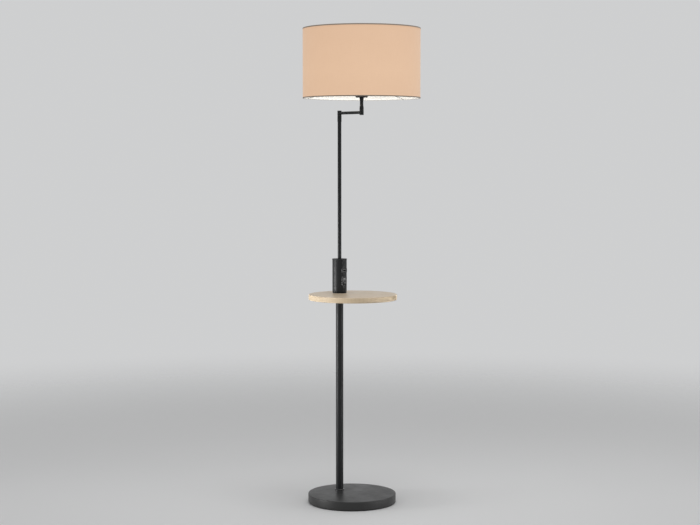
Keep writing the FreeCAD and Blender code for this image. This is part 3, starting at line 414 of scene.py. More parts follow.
def coated_finish(name, colour, lighter, rubbed, grains, depth, rough, **constants):
    """A grained coat: uneven in tone and shine, and a little rubbed along its edges."""
    material, tree, skin = new_finish(name, **constants)
    grain = use(tree, coat_grain, Grains=grains)
    marks = use(tree, handling_marks)
    rub = use(tree, edge_rub)
    tone = blend_colour(tree, grain["Tone"], colour, lighter)
    tone = blend_colour(tree, times(tree, rub["Mask"], 0.5), tone, rubbed)
    tree.links.new(tone, skin.inputs["Base Color"])
    tree.links.new(spread(tree, marks["Mask"], 0, 1, *rough), skin.inputs["Roughness"])
    raise_surface(tree, skin, grain["Height"], depth)
    return material


def metal_finish(name, colour, darker, rough):
    """Bare metal with fine lines from its turning."""
    material, tree, skin = new_finish(name, Metallic=1.0)
    brushed = use(tree, brushed_lines)
    marks = use(tree, handling_marks, Size=60.0)
    tree.links.new(blend_colour(tree, brushed["Mask"], colour, darker), skin.inputs["Base Color"])
    tree.links.new(spread(tree, marks["Mask"], 0, 1, *rough), skin.inputs["Roughness"])
    raise_surface(tree, skin, brushed["Height"], 0.02 * MM, 0.5)
    return material


def wood_finish():
    """Pale beech-like wood under a thin satin lacquer."""
    material, tree, skin = new_finish("pale lacquered wood", Coat_Roughness=0.22)
    figure = use(tree, wood_figure)
    tone = blend_colour(tree, figure["Rings"], (0.635, 0.515, 0.375, 1), (0.55, 0.42, 0.285, 1))
    fibre = times(tree, figure["Fibre"], 0.35)
    tone = blend_colour(tree, fibre, tone, (0.69, 0.58, 0.44, 1))
    pore = times(tree, figure["Pore"], 0.55)
    tone = blend_colour(tree, pore, tone, (0.36, 0.235, 0.15, 1))
    # The board's upright edge is painted a darker ochre: painted shade.
    facing = place(tree, "SeparateXYZ", {0: place(tree, "NewGeometry").outputs["True Normal"]})
    upright = spread(tree, calculate(tree, "ABSOLUTE", facing.outputs["Z"]), 0.7, 0.3)
    edge = times(tree, upright, 0.5)
    tone = blend_colour(tree, edge, tone, (0.55, 0.43, 0.27, 1))
    tree.links.new(tone, skin.inputs["Base Color"])
    marks = use(tree, handling_marks, Size=22.0)
    satin = spread(tree, marks["Mask"], 0, 1, 0.38, 0.50)
    tree.links.new(plus(tree, satin, times(tree, upright, 0.25)), skin.inputs["Roughness"])
    lacquer = spread(tree, figure["Pore"], 0, 1, 0.18, 0.08)
    tree.links.new(times(tree, lacquer, calculate(tree, "SUBTRACT", 1.0, upright)),
                   skin.inputs["Coat Weight"])
    relief = calculate(tree, "SUBTRACT", times(tree, figure["Fibre"], 0.3), figure["Pore"])
    raise_surface(tree, skin, relief, 0.05 * MM, 0.6)
    return material


# The glow painted into the lit shade stands in for the bulb's light through its cloth: brightest beside the bulb,
# and hardly at all through its hems, where painted shade stands for the wires.
PAINTED_GLOW_COLOUR = (1.0, 0.625, 0.375, 1)
PAINTED_GLOW_EDGE_COLOUR = (0.93, 0.565, 0.335, 1)
GLOW_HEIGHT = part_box("bulb_globe")[0].z
GLOW_REACH = 0.17
HEM_BLUR = 0.4 * MM


def painted_glow_mask(tree):
    """The share of painted glow: 1 at the bulb's height, falling towards both edges of the shade."""
    height = object_height(tree)
    away = calculate(tree, "ABSOLUTE", calculate(tree, "SUBTRACT", height, GLOW_HEIGHT))
    return spread(tree, away, GLOW_REACH, 0.0)


def hem_shade_mask(tree):
    """Where painted shade goes: 1 along both edges of the cloth, where a wire lies behind it and stops the light.
    """
    height = object_height(tree)
    wire_low, wire_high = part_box("shade_top_ring")
    upper = wire_low.z
    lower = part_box("shade_hem_bottom")[0].z + wire_high.z - wire_low.z
    below = spread(tree, height, lower + HEM_BLUR, lower - HEM_BLUR)
    above = spread(tree, height, upper - HEM_BLUR, upper + HEM_BLUR)
    return plus(tree, below, above)


def shade_cloth_finish():
    """Cream cloth with a painted glow for the bulb's light behind it, and painted shade along its wires."""
    material, tree, skin = new_finish("woven shade cloth", Emission_Strength=0.57,
                                      Sheen_Weight=0.25, Sheen_Roughness=0.4)
    weave = use(tree, plain_weave, Axis=tuple(HEAD), Radius=radii("shade_fabric")[0])
    hem = hem_shade_mask(tree)
    tone = blend_colour(tree, weave["Tone"], (0.38, 0.32, 0.265, 1), (0.43, 0.365, 0.305, 1))
    # Painted shade of the wires: the cloth is made darker along them.
    tone = blend_colour(tree, hem, tone, (0.33, 0.275, 0.225, 1))
    tree.links.new(tone, skin.inputs["Base Color"])
    # Painted glow: emission stands in for the bulb's light through the cloth, and is dimmer where the yarn is
    # thick.
    glow = blend_colour(tree, painted_glow_mask(tree), PAINTED_GLOW_EDGE_COLOUR, PAINTED_GLOW_COLOUR)
    thick = times(tree, weave["Slub"], 0.16)
    glow = blend_colour(tree, thick, glow, (0.62, 0.34, 0.19, 1))
    # Painted shade of the wires: the painted glow is nearly put out along them.
    glow = blend_colour(tree, hem, glow, (0.05, 0.03, 0.02, 1))
    tree.links.new(glow, skin.inputs["Emission Color"])
    tree.links.new(spread(tree, weave["Tone"], 0, 1, 0.82, 0.92), skin.inputs["Roughness"])
    raise_surface(tree, skin, weave["Height"], 0.12 * MM, 0.7)
    return material


def shade_lining_finish():
    """The white plastic lining, lit by the bulb beside it and brighter still from a painted glow."""
    material, tree, skin = new_finish("white shade lining", Emission_Strength=0.22)
    grain = use(tree, coat_grain, Grains=500.0)
    tone = blend_colour(tree, grain["Tone"], (0.90, 0.885, 0.85, 1), (0.93, 0.92, 0.89, 1))
    tree.links.new(tone, skin.inputs["Base Color"])
    # Painted glow, added to the light that the bulb throws on the lining.
    glow = blend_colour(tree, painted_glow_mask(tree), (0.95, 0.91, 0.84, 1), (1.0, 0.95, 0.88, 1))
    tree.links.new(glow, skin.inputs["Emission Color"])
    tree.links.new(spread(tree, grain["Tone"], 0, 1, 0.5, 0.6), skin.inputs["Roughness"])
    raise_surface(tree, skin, grain["Height"], 0.02 * MM, 0.4)
    return material


def opal_glass_finish():
    """The lit opal globe, a little deeper in colour towards its neck."""
    material, tree, skin = new_finish("lit opal globe", Emission_Strength=1.5, Roughness=0.25,
                                      Coat_Weight=0.4, Coat_Roughness=0.08)
    low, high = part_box("bulb_globe")
    up = spread(tree, object_height(tree), low.z, low.z + (high.z - low.z) * 0.35)
    mottle = noise(tree, object_place(tree), 70.0, detail=4.0)
    glow = blend_colour(tree, up, (0.86, 0.62, 0.38, 1), (1.0, 0.86, 0.66, 1))
    glow = blend_colour(tree, spread(tree, mottle, 0.4, 0.7, 0, 0.12), glow, (0.93, 0.74, 0.52, 1))
    tree.links.new(glow, skin.inputs["Emission Color"])
    tree.links.new(blend_colour(tree, up, (0.9, 0.88, 0.82, 1), (0.95, 0.94, 0.9, 1)),
                   skin.inputs["Base Color"])
    return material


FINISHES = {
    "black_coat": coated_finish(
        "black powder coat", (0.012, 0.013, 0.014, 1), (0.018, 0.019, 0.020, 1),
        (0.07, 0.07, 0.07, 1), grains=1500, depth=0.035 * MM, rough=(0.42, 0.52),
        Specular_IOR_Level=0.2),
    "base_coat": coated_finish(
        "black textured powder coat", (0.018, 0.018, 0.018, 1), (0.027, 0.027, 0.027, 1),
        (0.11, 0.11, 0.11, 1), grains=1100, depth=0.06 * MM, rough=(0.36, 0.48),
        Specular_IOR_Level=0.5),
    "black_trim": coated_finish(
        "polished black trim", (0.012, 0.012, 0.013, 1), (0.017, 0.017, 0.018, 1),
        (0.09, 0.09, 0.09, 1), grains=700, depth=0.004 * MM, rough=(0.08, 0.16), Coat_Weight=0.6,
        Coat_Roughness=0.05),
    "black_plastic": coated_finish(
        "grained black plastic", (0.016, 0.016, 0.017, 1), (0.024, 0.024, 0.025, 1),
        (0.05, 0.05, 0.05, 1), grains=2200, depth=0.03 * MM, rough=(0.44, 0.56),
        Specular_IOR_Level=0.3),
    "rocker_plastic": coated_finish(
        "smooth black plastic", (0.015, 0.015, 0.016, 1), (0.019, 0.019, 0.020, 1),
        (0.05, 0.05, 0.05, 1), grains=900, depth=0.004 * MM, rough=(0.26, 0.36), Coat_Weight=0.12,
        Coat_Roughness=0.18),
    "white_plastic": coated_finish(
        "white moulded plastic", (0.80, 0.79, 0.76, 1), (0.86, 0.85, 0.82, 1),
        (0.90, 0.89, 0.87, 1), grains=1200, depth=0.015 * MM, rough=(0.34, 0.46)),
    "grey_print": coated_finish(
        "grey print", (0.30, 0.30, 0.29, 1), (0.36, 0.36, 0.35, 1),
        (0.40, 0.40, 0.39, 1), grains=1200, depth=0.01 * MM, rough=(0.5, 0.6)),
    "green_board": coated_finish(
        "green circuit board", (0.02, 0.11, 0.045, 1), (0.03, 0.16, 0.07, 1),
        (0.35, 0.36, 0.22, 1), grains=600, depth=0.01 * MM, rough=(0.22, 0.34)),
    "soft_foam": coated_finish(
        "black foam rubber", (0.016, 0.016, 0.016, 1), (0.032, 0.032, 0.032, 1),
        (0.04, 0.04, 0.04, 1), grains=1600, depth=0.15 * MM, rough=(0.85, 0.95)),
    "cast_iron": coated_finish(
        "rough cast weight", (0.05, 0.05, 0.052, 1), (0.09, 0.088, 0.085, 1),
        (0.16, 0.15, 0.14, 1), grains=420, depth=0.3 * MM, rough=(0.6, 0.78), Metallic=0.6),
    "cable_jacket": coated_finish(
        "cream cable jacket", (0.74, 0.72, 0.66, 1), (0.80, 0.78, 0.73, 1),
        (0.82, 0.80, 0.76, 1), grains=1100, depth=0.02 * MM, rough=(0.5, 0.62)),
    "nylon": coated_finish(
        "black nylon", (0.020, 0.020, 0.020, 1), (0.028, 0.028, 0.028, 1),
        (0.05, 0.05, 0.05, 1), grains=900, depth=0.015 * MM, rough=(0.38, 0.5)),
    "white_wire": coated_finish(
        "white coated wire", (0.80, 0.79, 0.77, 1), (0.86, 0.85, 0.83, 1),
        (0.70, 0.69, 0.67, 1), grains=1000, depth=0.02 * MM, rough=(0.3, 0.42)),
    "dull_nickel": metal_finish(
        "dull nickel plate", (0.32, 0.32, 0.31, 1), (0.24, 0.24, 0.23, 1), rough=(0.42, 0.55)),
    "zinc": metal_finish(
        "zinc plated steel", (0.62, 0.61, 0.57, 1), (0.48, 0.47, 0.44, 1), rough=(0.28, 0.42)),
    "aluminium": metal_finish(
        "rolled aluminium", (0.80, 0.80, 0.79, 1), (0.68, 0.68, 0.68, 1), rough=(0.24, 0.38)),
    "brass": metal_finish(
        "pressed brass", (0.78, 0.58, 0.27, 1), (0.62, 0.44, 0.19, 1), rough=(0.2, 0.34)),
    "wood": wood_finish(),
    "shade_cloth": shade_cloth_finish(),
    "shade_lining": shade_lining_finish(),
    "opal_glass": opal_glass_finish(),
}

# The finish of each CAD node, also of those that a finished piece stands for.
NODE_FINISHES = {
    "black_coat": ["lower_tube", "upper_tube", "pole_top_fitting", "console_foot",
                   "console_housing", "console_cap", "arm_knuckle_pole", "arm_knuckle_pole_cap",
                   "arm_tube", "arm_knuckle_head", "arm_knuckle_head_cap", "head_stem",
                   "holder_cup"],
    "base_coat": ["base_cover"],
    "black_trim": ["pole_foot_ring"],
    "black_plastic": ["cable_grommet", "switch_frame", "switch_body", "usb_frame", "usb_tongue",
                      "usb_converter"],
    "rocker_plastic": ["rocker"],
    "white_plastic": ["holder_core", "holder_skirt", "shade_ring_lower", "shade_ring_upper",
                      "bulb_base"],
    "green_board": ["usb_board"],
    "soft_foam": ["foot_ring"],
    "cast_iron": ["base_weight"],
    "cable_jacket": ["lead_upper", "lead_arm", "lead_head"],
    "nylon": ["pole_pivot_washer", "head_pivot_washer"],
    "white_wire": ["shade_carrier", "shade_top_ring"],
    "zinc": ["foot_nipple", "foot_washer", "clamp_nuts", "tube_foot_plug", "tube_head_plug",
             "table_nipple", "cap_nipple", "pole_pivot", "head_pivot", "holder_nut"],
    "dull_nickel": ["usb_shell"],
    "aluminium": ["bulb_cap"],
    "brass": ["switch_terminals", "holder_contacts"],
    "wood": ["table_top"],
    "shade_cloth": ["shade_fabric", "shade_hem_top", "shade_hem_bottom"],
    "shade_lining": ["shade_liner"],
    "opal_glass": ["bulb_globe"],
}


def dress_nodes():
    """Give every CAD node its finish."""
    for finish, names in NODE_FINISHES.items():
        for name in names:
            mesh = frame["nodes"][name].data
            mesh.materials.clear()
            mesh.materials.append(FINISHES[finish])


# ---------------------------------------------------------------------------------------------
# Shaping tools
# ---------------------------------------------------------------------------------------------

BODY_OF_NODE = {node: body for body, members in frame["record"]["behaviour"]["bodies"].items()
                for node in members}


def finish_mesh(name, vertices, faces, sharp=35):
    """A mesh with smooth faces, outward normals and crisp edges above an angle."""
    mesh = bpy.data.meshes.new(name)
    mesh.from_pydata([tuple(vertex) for vertex in vertices], [], faces)
    mesh.validate()
    shape = bmesh.new()
    shape.from_mesh(mesh)
    bmesh.ops.recalc_face_normals(shape, faces=shape.faces)
    shape.to_mesh(mesh)
    shape.free()
    mesh.shade_smooth()
    mesh.set_sharp_from_angle(angle=math.radians(sharp))
    return mesh


def add_piece(name, mesh, finish, like, replaced=()):
    """Put a mesh on the body of the CAD node that it is like, and hide what it replaces."""
    mesh.materials.append(FINISHES[finish])
    piece = bpy.data.objects.new(name, mesh)
    bpy.context.scene.collection.objects.link(piece)
    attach(piece, BODY_OF_NODE[like])
    if replaced:
        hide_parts(*replaced)
    return piece


def softened(corners, steps=6):
    """A closed profile of (radius, height) or (radius, height, rounding) corners, rounded."""
    path = []
    for index, corner in enumerate(corners):
        here = Vector(corner[:2])
        if len(corner) == 2:
            path.append(here)
            continue
        before = (Vector(corners[index - 1][:2]) - here).normalized()
        after = (Vector(corners[(index + 1) % len(corners)][:2]) - here).normalized()
        half = before.angle(after) / 2
        centre = here + (before + after).normalized() * (corner[2] / math.sin(half))
        start = here + before * (corner[2] / math.tan(half)) - centre
        end = here + after * (corner[2] / math.tan(half)) - centre
        turn = math.pi - 2 * half
        if start.x * end.y - start.y * end.x < 0:
            turn = -turn
        for step in range(steps + 1):
            path.append(centre + Matrix.Rotation(turn * step / steps, 2) @ start)
    return path


def circle_points(across, up, radius, steps=20):
    """Points round a circle about its middle."""
    return [Vector((across + radius * math.cos(math.tau * step / steps),
                    up + radius * math.sin(math.tau * step / steps))) for step in range(steps)]


def rectangle(across, up, half_width, half_height):
    """The corners of a rectangle about its middle."""
    return [(across + half_width * x, up + half_height * y)
            for x, y in ((-1, -1), (1, -1), (1, 1), (-1, 1))]


def prism(first, second):
    """A closed shape between two outlines of as many points."""
    count = len(first)
    faces = [[i, (i + 1) % count, count + (i + 1) % count, count + i] for i in range(count)]
    faces += [list(range(count)), list(range(count, 2 * count))]
    return [*first, *second], faces


def ring_band(*rims):
    """A closed ring through several rims of as many points."""
    count = len(rims[0])
    faces = []
    for number in range(len(rims)):
        here, following = number * count, (number + 1) % len(rims) * count
        faces += [[here + i, here + (i + 1) % count, following + (i + 1) % count, following + i]
                  for i in range(count)]
    return [point for rim in rims for point in rim], faces


def turned_shape(profile, axis, segments=160, reshape=None):
    """Vertices and faces of a closed profile turned about an upright axis.

    `reshape` may move a point by its angle: it takes and gives (radius, height, angle).
    """
    vertices, rings = [], []
    for radius, height in profile:
        if radius < HAIR:
            rings.append([len(vertices)])
            vertices.append(axis + Vector((0, 0, height)))
            continue
        ring = []
        for step in range(segments):
            angle = math.tau * step / segments
            r, z = reshape(radius, height, angle) if reshape else (radius, height)
            ring.append(len(vertices))
            vertices.append(axis + Vector((r * math.cos(angle), r * math.sin(angle), z)))
        rings.append(ring)
    faces = []
    for number, ring in enumerate(rings):
        following = rings[(number + 1) % len(rings)]
        if len(ring) == 1 and len(following) == 1:
            continue
        for step in range(segments):
            after = (step + 1) % segments
            corners = [ring[step % len(ring)], ring[after % len(ring)],
                       following[after % len(following)], following[step % len(following)]]
            faces.append(list(dict.fromkeys(corners)))
    return vertices, faces


def add_turned(name, profile, finish, like, replaced=(), axis=None, segments=160, reshape=None,
               sharp=35):
    """A piece that is one turned profile."""
    axis = upright_axis(like) if axis is None else axis
    mesh = finish_mesh(name, *turned_shape(profile, axis, segments, reshape), sharp)
    return add_piece(name, mesh, finish, like, replaced)


def bar_shape(start, end, radius, sides=20):
    """A round bar from one point to another."""
    along = (end - start).normalized()
    side = along.orthogonal().normalized()
    other = along.cross(side)
    rim = [side * x + other * y for x, y in circle_points(0, 0, radius, sides)]
    return prism([start + point for point in rim], [end + point for point in rim])


def joined(*shapes):
    """Several shapes of vertices and faces as one."""
    vertices, faces = [], []
    for more_vertices, more_faces in shapes:
        base = len(vertices)
        vertices += more_vertices
        faces += [[base + index for index in face] for face in more_faces]
    return vertices, faces


# ---------------------------------------------------------------------------------------------
# Base, pole and table
# ---------------------------------------------------------------------------------------------

# The play round what sits in a bore, and the rounding of an edge that is only broken.
PLAY = 0.1 * MM
BROKEN_EDGE = 0.3 * MM


def make_base_shell():
    """The pressed cover with its softly rounded rim."""
    radius, lift, top = radii("base_cover")
    sheet = 1.2 * MM
    inside = radius - sheet
    inner_bend = 0.8 * MM
    rim_bend = 2.0 * MM
    profile = softened([(0, top - sheet), (inside, top - sheet, inner_bend), (inside, lift),
                        (radius, lift, BROKEN_EDGE), (radius, top, rim_bend), (0, top)])
    add_turned("base_shell", profile, "base_coat", "base_cover", ["base_cover"], segments=256)


def make_foot_collar():
    """The polished ring round the foot of the pole."""
    radius, bottom, top = radii("pole_foot_ring")
    bore = radii("lower_tube")[0] + PLAY
    shoulder = 1.5 * MM
    lip = 0.7 * MM
    profile = softened([(bore, bottom), (radius, bottom, BROKEN_EDGE), (radius, top, shoulder),
                        (bore, top, lip)])
    add_turned("foot_collar", profile, "black_trim", "pole_foot_ring", ["pole_foot_ring"])


def make_table_board():
    """The round wooden board with eased edges."""
    radius, bottom, top = radii("table_top")
    eased = 1.8 * MM
    profile = softened([(0, bottom), (radius, bottom, eased), (radius, top, eased), (0, top)])
    add_turned("table_board", profile, "wood", "table_top", ["table_top"], segments=256)


# ---------------------------------------------------------------------------------------------
# Console
# ---------------------------------------------------------------------------------------------

def make_console_lid():
    """The plate on the console with its rounded edge, and the plug under it."""
    radius, low, top = radii("console_cap")
    housing, _, housing_top = radii("console_housing")
    housing_wall = 2.0 * MM
    plug = housing - housing_wall - PLAY
    bore = 5.3 * MM
    plug_edge = 0.4 * MM
    lid_edge = 0.9 * MM
    profile = softened([(bore, low), (plug, low, plug_edge), (plug, housing_top),
                        (radius, housing_top), (radius, top, lid_edge), (bore, top)])
    add_turned("console_lid", profile, "black_coat", "console_cap", ["console_cap"])


# The rocker's own shape, about its pivot: its face is a shallow hollow between two raised ends.
ROCKER_HALF_WIDTH = 6.45 * MM
ROCKER_HALF_LENGTH = 11.5 * MM
ROCKER_CREST = 5.9 * MM
ROCKER_RISE = 1.616 * MM
ROCKER_TILT = math.radians(8)
ROCKER_HEEL = 2.0 * MM
ROCKER_TAPER = 2.4 * MM
ROCKER_EASED = 0.45 * MM
PIN_RADIUS = 1.5 * MM
PIN_REACH = 8.6 * MM

# The two signs printed on the rocker, a bar and a ring, each as far from its middle.
SIGN_OFFSET = 6.0 * MM
SIGN_LIFT = 0.05 * MM
BAR_HALF_WIDTH = 0.3 * MM
BAR_HALF_LENGTH = 1.8 * MM
RING_OUTSIDE = 1.9 * MM
RING_INSIDE = 1.35 * MM


def rocker_face(height):
    """How far the rocker's face stands before its pivot at a height along it."""
    bow = (ROCKER_HALF_LENGTH ** 2 + ROCKER_RISE ** 2) / (2 * ROCKER_RISE)
    return ROCKER_CREST + bow - math.sqrt(bow ** 2 - height ** 2)


def rocker_place(across, forward, up):
    """A point of the rocker, tilted about its pivot to the side that is switched on."""
    pivot = next(joint for joint in frame["joints"] if joint["child"] == BODY_OF_NODE["rocker"])
    tilted = Matrix.Rotation(-ROCKER_TILT, 3, "X") @ Vector((across, -forward, up))
    return Vector(pivot["pos_m"]) + tilted


def make_rocker_paddle():
    """The rocker with its hollow face, tapered heel and two pins."""
    steps = 24
    face = [(rocker_face(z), z) for z in
            (ROCKER_HALF_LENGTH * (2 * step / steps - 1) for step in range(steps + 1))]
    side = face + [(-ROCKER_HEEL, ROCKER_HALF_LENGTH - ROCKER_TAPER),
                   (-ROCKER_HEEL, ROCKER_TAPER - ROCKER_HALF_LENGTH)]
    cheeks = [[rocker_place(across, forward, up) for forward, up in side]
              for across in (-ROCKER_HALF_WIDTH, ROCKER_HALF_WIDTH)]
    pin = [rocker_place(across, 0, 0) for across in (-PIN_REACH, PIN_REACH)]
    shape = joined(prism(*cheeks), bar_shape(*pin, PIN_RADIUS))
    paddle = add_piece("rocker_paddle", finish_mesh("rocker_paddle", *shape), "rocker_plastic",
                       "rocker", ["rocker"])
    bevel = paddle.modifiers.new("eased edges", "BEVEL")
    bevel.width = ROCKER_EASED
    bevel.segments = 3
    bevel.limit_method = "ANGLE"
    bevel.angle_limit = math.radians(40)


def sign_rims(outline):
    """The printed front rim and the sunk back rim of an outline on the rocker's face."""
    return [[rocker_place(x, rocker_face(z) + lift, z) for x, z in outline]
            for lift in (SIGN_LIFT, -SIGN_LIFT)]


def make_rocker_marks():
    """A bar for on and a ring for off, printed on the rocker."""
    bar = prism(*sign_rims(rectangle(0, SIGN_OFFSET, BAR_HALF_WIDTH, BAR_HALF_LENGTH)))
    outer, inner = (sign_rims(circle_points(0, -SIGN_OFFSET, radius, steps=32))
                    for radius in (RING_OUTSIDE, RING_INSIDE))
    ring = ring_band(outer[0], inner[0], inner[1], outer[1])
    mesh = finish_mesh("rocker_marks", *joined(bar, ring))
    add_piece("rocker_marks", mesh, "grey_print", "rocker")


def make_socket_contacts():
    """Four bright contact strips on the tongue of the charging socket."""
    low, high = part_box("usb_tongue")
    middle = (low + high) / 2
    count = 4
    pitch = 2.5 * MM
    half_width = 0.5 * MM
    end_gap = 0.6 * MM
    half_length = (high.y - low.y) / 2 - end_gap
    proud = 0.12 * MM
    let_in = 0.1 * MM
    strips = []
    for number in range(count):
        across = middle.x + (number - (count - 1) / 2) * pitch
        outline = rectangle(across, middle.y, half_width, half_length)
        strips.append(prism(*[[Vector((x, y, z)) for x, y in outline]
                              for z in (low.z - proud, low.z + let_in)]))
    mesh = finish_mesh("socket_contacts", *joined(*strips))
    add_piece("socket_contacts", mesh, "brass", "usb_tongue")


# ---------------------------------------------------------------------------------------------
# Lamp holder and bulb
# ---------------------------------------------------------------------------------------------

# Points of a threaded wall for each turn of its thread.
THREAD_POINTS = 10


def thread(crest, depth, pitch, foot, top):
    """Reshape a turned wall into a rounded screw thread between two heights."""
    def reshape(radius, height, angle):
        if abs(radius - crest) > HAIR or not foot < height < top:
            return radius, height
        fade = min(1.0, (height - foot) / pitch, (top - height) / pitch)
        wave = 0.5 - 0.5 * math.cos(math.tau * (height - foot) / pitch - angle)
        return radius - depth * wave * fade, height
    return reshape


def threaded_wall(radius, foot, top, pitch):
    """Profile points up a wall, close enough together to carry a thread."""
    count = int((top - foot) / pitch * THREAD_POINTS)
    return [Vector((radius, foot + (top - foot) * step / count)) for step in range(count + 1)]


def ribs(crest, reach, count, depth):
    """Reshape a turned wall into upright ribs, as far in from its crest as it reaches."""
    def reshape(radius, height, angle):
        if radius < crest - reach - HAIR:
            return radius, height
        return radius - depth * max(0.0, math.cos(count * angle)) ** 4, height
    return reshape


def make_holder_cup():
    """The spun cup under the lamp holder."""
    radius, low, top = radii("holder_cup")
    sheet = 0.8 * MM
    inside = radius - sheet
    bore = 5.4 * MM
    outer_bend = 2.2 * MM
    lip = 0.35 * MM
    profile = softened([(bore, low), (radius, low, outer_bend), (radius, top, lip),
                        (inside, top, lip), (inside, low + sheet, outer_bend - sheet),
                        (bore, low + sheet)])
    add_turned("spun_cup", profile, "black_coat", "holder_cup", ["holder_cup"])


def make_holder_skirt():
    """The white skirt with the coarse thread that carries the two shade rings."""
    radius, low, top = radii("holder_skirt")
    bore = 13.9 * MM
    pitch = 3.0 * MM
    thread_depth = 0.9 * MM
    wall = threaded_wall(radius, low, top, pitch)
    profile = [Vector((bore, low)), *wall, Vector((bore, top))]
    add_turned("threaded_skirt", profile, "white_plastic", "holder_skirt", ["holder_skirt"],
               reshape=thread(radius, thread_depth, pitch, low, top), sharp=60)


def make_shade_rings():
    """Two ribbed rings that clamp the shade between them."""
    bore = radii("holder_skirt")[0] + PLAY
    rounding = 0.8 * MM
    rib_depth = 0.7 * MM
    for node in ("shade_ring_lower", "shade_ring_upper"):
        radius, low, top = radii(node)
        profile = softened([(bore, low, BROKEN_EDGE), (radius, low, rounding),
                            (radius, top, rounding), (bore, top, BROKEN_EDGE)])
        grip = ribs(radius, reach=rounding, count=36, depth=rib_depth)
        add_turned(f"{node}_ribbed", profile, "white_plastic", node, [node], segments=432,
                   reshape=grip)


def make_bulb_cap():
    """The bulb's threaded cap, with its contact at the foot."""
    radius, low, top = radii("bulb_cap")
    tip = 4.5 * MM
    tip_slope = 1.5 * MM
    tip_height = 1 * MM
    pitch = 3.5 * MM
    thread_depth = 0.8 * MM
    thread_foot = low + 5 * MM
    thread_top = top - 2 * MM
    profile = [Vector((0, low)), Vector((tip, low)), Vector((tip + tip_slope, low + tip_height)),
               *threaded_wall(radius, thread_foot, thread_top, pitch), Vector((radius, top)),
               Vector((0, top))]
    add_turned("bulb_screw_cap", profile, "aluminium", "bulb_cap", ["bulb_cap"],
               reshape=thread(radius, thread_depth, pitch, thread_foot, thread_top), sharp=60)


def make_bulb_cone():
    """The smooth cone between the bulb's cap and its globe."""
    neck, low, top = radii("bulb_base")
    cap = radii("bulb_cap")[0]
    foot_bend = 0.6 * MM
    flare = 1.2 * MM
    flare_height = 3 * MM
    rim = 1.2 * MM
    rim_bend = 3 * MM
    profile = softened([(0, low), (cap, low, foot_bend), (cap + flare, low + flare_height),
                        (neck, top - rim, rim_bend), (neck, top), (0, top)])
    add_turned("bulb_cone", profile, "white_plastic", "bulb_base", ["bulb_base"])


def make_bulb_globe():
    """The round opal globe, cut flat where it meets the cone."""
    radius, low, high = radii("bulb_globe")
    centre = high - radius
    first = math.asin((low - centre) / radius)
    steps = 40
    angles = [first + (math.pi / 2 - first) * step / steps for step in range(steps)]
    dome = [Vector((radius * math.cos(angle), centre + radius * math.sin(angle)))
            for angle in angles]
    profile = [Vector((0, low)), *dome, Vector((0, high))]
    add_turned("bulb_opal_globe", profile, "opal_glass", "bulb_globe", ["bulb_globe"],
               segments=96)


# ---------------------------------------------------------------------------------------------
# Shade
# ---------------------------------------------------------------------------------------------

# The cloth, the lining and the wires, which are given by their radius.
HEM_STEP = 0.55 * MM
CLOTH = 0.7 * MM
LAP_MIDDLE = math.radians(140)
LAP_WIDTH = 9.0 * MM
LAP_THICKNESS = 0.3 * MM
LAP_LET_IN = 0.1 * MM
LINING_WALL = 0.4 * MM
LINING_SHEET = 0.2 * MM
LINING_TURN = math.radians(230)
RING_WIRE = 1.8 * MM
ARM_WIRE = 1.6 * MM


def wire_ring(node):
    """Radius and height of the middle of the wire in a node's lowest ring."""
    outside, low, _ = radii(node)
    return Vector((outside - RING_WIRE, low + RING_WIRE))


def lap_shape(radius, low, high):
    """A thin upright strip on the drum, where the ends of its cloth are glued."""
    columns = 6
    half = LAP_WIDTH / 2 / radius
    angles = [LAP_MIDDLE + half * (2 * column / columns - 1) for column in range(columns + 1)]
    outline = [(radius + LAP_THICKNESS, angle) for angle in angles]
    outline += [(radius - LAP_LET_IN, angle) for angle in reversed(angles)]
    return prism(*[[HEAD + Vector((reach * math.cos(angle), reach * math.sin(angle), height))
                    for reach, angle in outline] for height in (low, high)])


def make_shade_cloth():
    """The cloth drum with its turned-over hems, and the lap where its ends are glued."""
    outside, low, high = radii("shade_hem_bottom")
    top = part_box("shade_hem_top")[1].z
    hem = high - low
    body = outside - HEM_STEP
    inside = body - CLOTH
    hem_edge = 0.45 * MM
    hem_slope = 0.2 * MM
    slope_bend = 0.25 * MM
    wave_depth = 0.06 * MM
    rows = 40
    wall = [(body, low + hem + (top - low - 2 * hem) * step / rows) for step in range(rows + 1)]
    corners = [(inside, low), (outside, low, hem_edge),
               (outside, low + hem - hem_slope, slope_bend), *wall,
               (outside, top - hem + hem_slope, slope_bend), (outside, top, hem_edge),
               (inside, top)]

    def reshape(radius, height, angle):
        """Stiff cloth on a drum is never quite true: a few soft, broad waves."""
        if radius < body - HAIR:
            return radius, height
        wave = math.sin(5 * angle + 9 * height) + 0.6 * math.sin(11 * angle - 14 * height)
        held = math.sin(math.pi * (height - low) / (top - low))
        return radius + wave_depth * wave * held, height

    cloth = add_turned("shade_cloth", softened(corners, steps=3), "shade_cloth", "shade_fabric",
                       ["shade_fabric", "shade_hem_top", "shade_hem_bottom"], axis=HEAD,
                       segments=256, reshape=reshape)
    strip = lap_shape(body, low + hem, top - hem)
    lap = add_piece("shade_lap", finish_mesh("shade_lap", *strip), "shade_cloth",
                    "shade_fabric")


def make_shade_lining():
    """The white lining, whose two edges are rolled inwards round the wire rings."""
    wall = radii("shade_liner")[0] - LINING_WALL / 2
    steps = 18
    sides = []
    for side in (LINING_SHEET / 2, -LINING_SHEET / 2):
        path = []
        for node, start, end in (("shade_carrier", -LINING_TURN, 0),
                                 ("shade_top_ring", 0, LINING_TURN)):
            ring = wire_ring(node)
            roll = wall - ring.x + side
            for step in range(steps + 1):
                angle = start + (end - start) * step / steps
                path.append(ring + Vector((math.cos(angle), math.sin(angle))) * roll)
        sides.append(path)
    profile = sides[0] + sides[1][::-1]
    add_turned("shade_lining", profile, "shade_lining", "shade_liner", ["shade_liner"],
               segments=256, sharp=60)


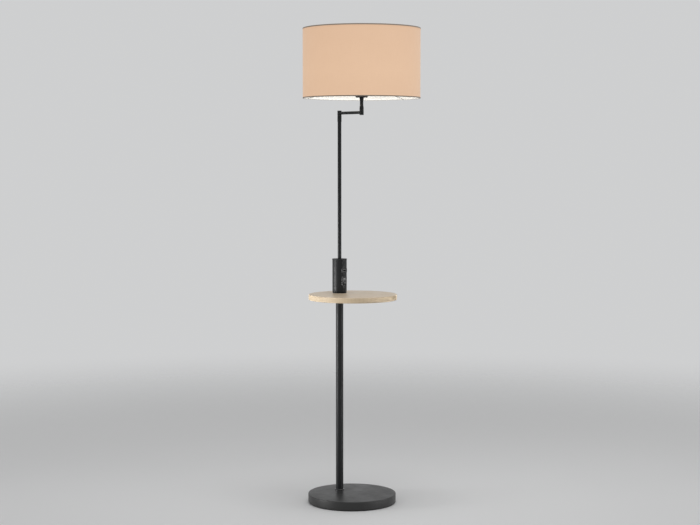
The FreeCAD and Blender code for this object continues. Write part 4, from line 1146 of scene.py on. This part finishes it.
def make_shade_wire_frame():
    """The centre plate, three wire arms and lower ring of the shade, welded together."""
    top = radii("shade_carrier")[2]
    plate_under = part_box("shade_ring_lower")[1].z
    plate_radius = 35 * MM
    plate_bore = radii("holder_skirt")[0] + PLAY
    plate = softened([(plate_bore, plate_under), (plate_radius, plate_under, BROKEN_EDGE),
                      (plate_radius, top, BROKEN_EDGE), (plate_bore, top)], steps=3)
    ring = wire_ring("shade_carrier")
    shapes = [turned_shape(plate, HEAD, 96),
              turned_shape(circle_points(*ring, RING_WIRE), HEAD, 256)]
    arms = 3
    for number in range(arms):
        angle = math.tau * number / arms
        out = Vector((math.cos(angle), math.sin(angle), 0))
        inner = HEAD + out * (radii("shade_ring_lower")[0] + ARM_WIRE)
        inner.z = plate_under - ARM_WIRE / 2
        outer = HEAD + out * ring.x
        outer.z = ring.y
        shapes.append(bar_shape(inner, outer, ARM_WIRE))
    mesh = finish_mesh("shade_wire_frame", *joined(*shapes), sharp=50)
    add_piece("shade_wire_frame", mesh, "white_wire", "shade_carrier", ["shade_carrier"])


def make_shade_top_wire():
    """The wire ring in the shade's upper edge."""
    section = circle_points(*wire_ring("shade_top_ring"), RING_WIRE)
    add_turned("shade_top_wire", section, "white_wire", "shade_top_ring", ["shade_top_ring"],
               segments=256, sharp=60)


def make_bulb_light():
    """The light that the bulb gives inside the shade."""
    globe, _, high = radii("bulb_globe")
    data = bpy.data.lights.new("bulb light", "POINT")
    data.energy = 0.9
    data.color = (1.0, 0.88, 0.74)
    data.shadow_soft_size = globe + 1 * MM
    light = bpy.data.objects.new("bulb light", data)
    light.location = HEAD + Vector((0, 0, high - globe))
    bpy.context.scene.collection.objects.link(light)
    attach(light, BODY_OF_NODE["bulb_globe"])


make_camera()
make_studio()
make_floor()
dress_nodes()
make_base_shell()
make_foot_collar()
make_table_board()
make_console_lid()
make_rocker_paddle()
make_rocker_marks()
make_socket_contacts()
make_holder_cup()
make_holder_skirt()
make_shade_rings()
make_bulb_cap()
make_bulb_cone()
make_bulb_globe()
make_shade_cloth()
make_shade_lining()
make_shade_wire_frame()
make_shade_top_wire()
make_bulb_light()
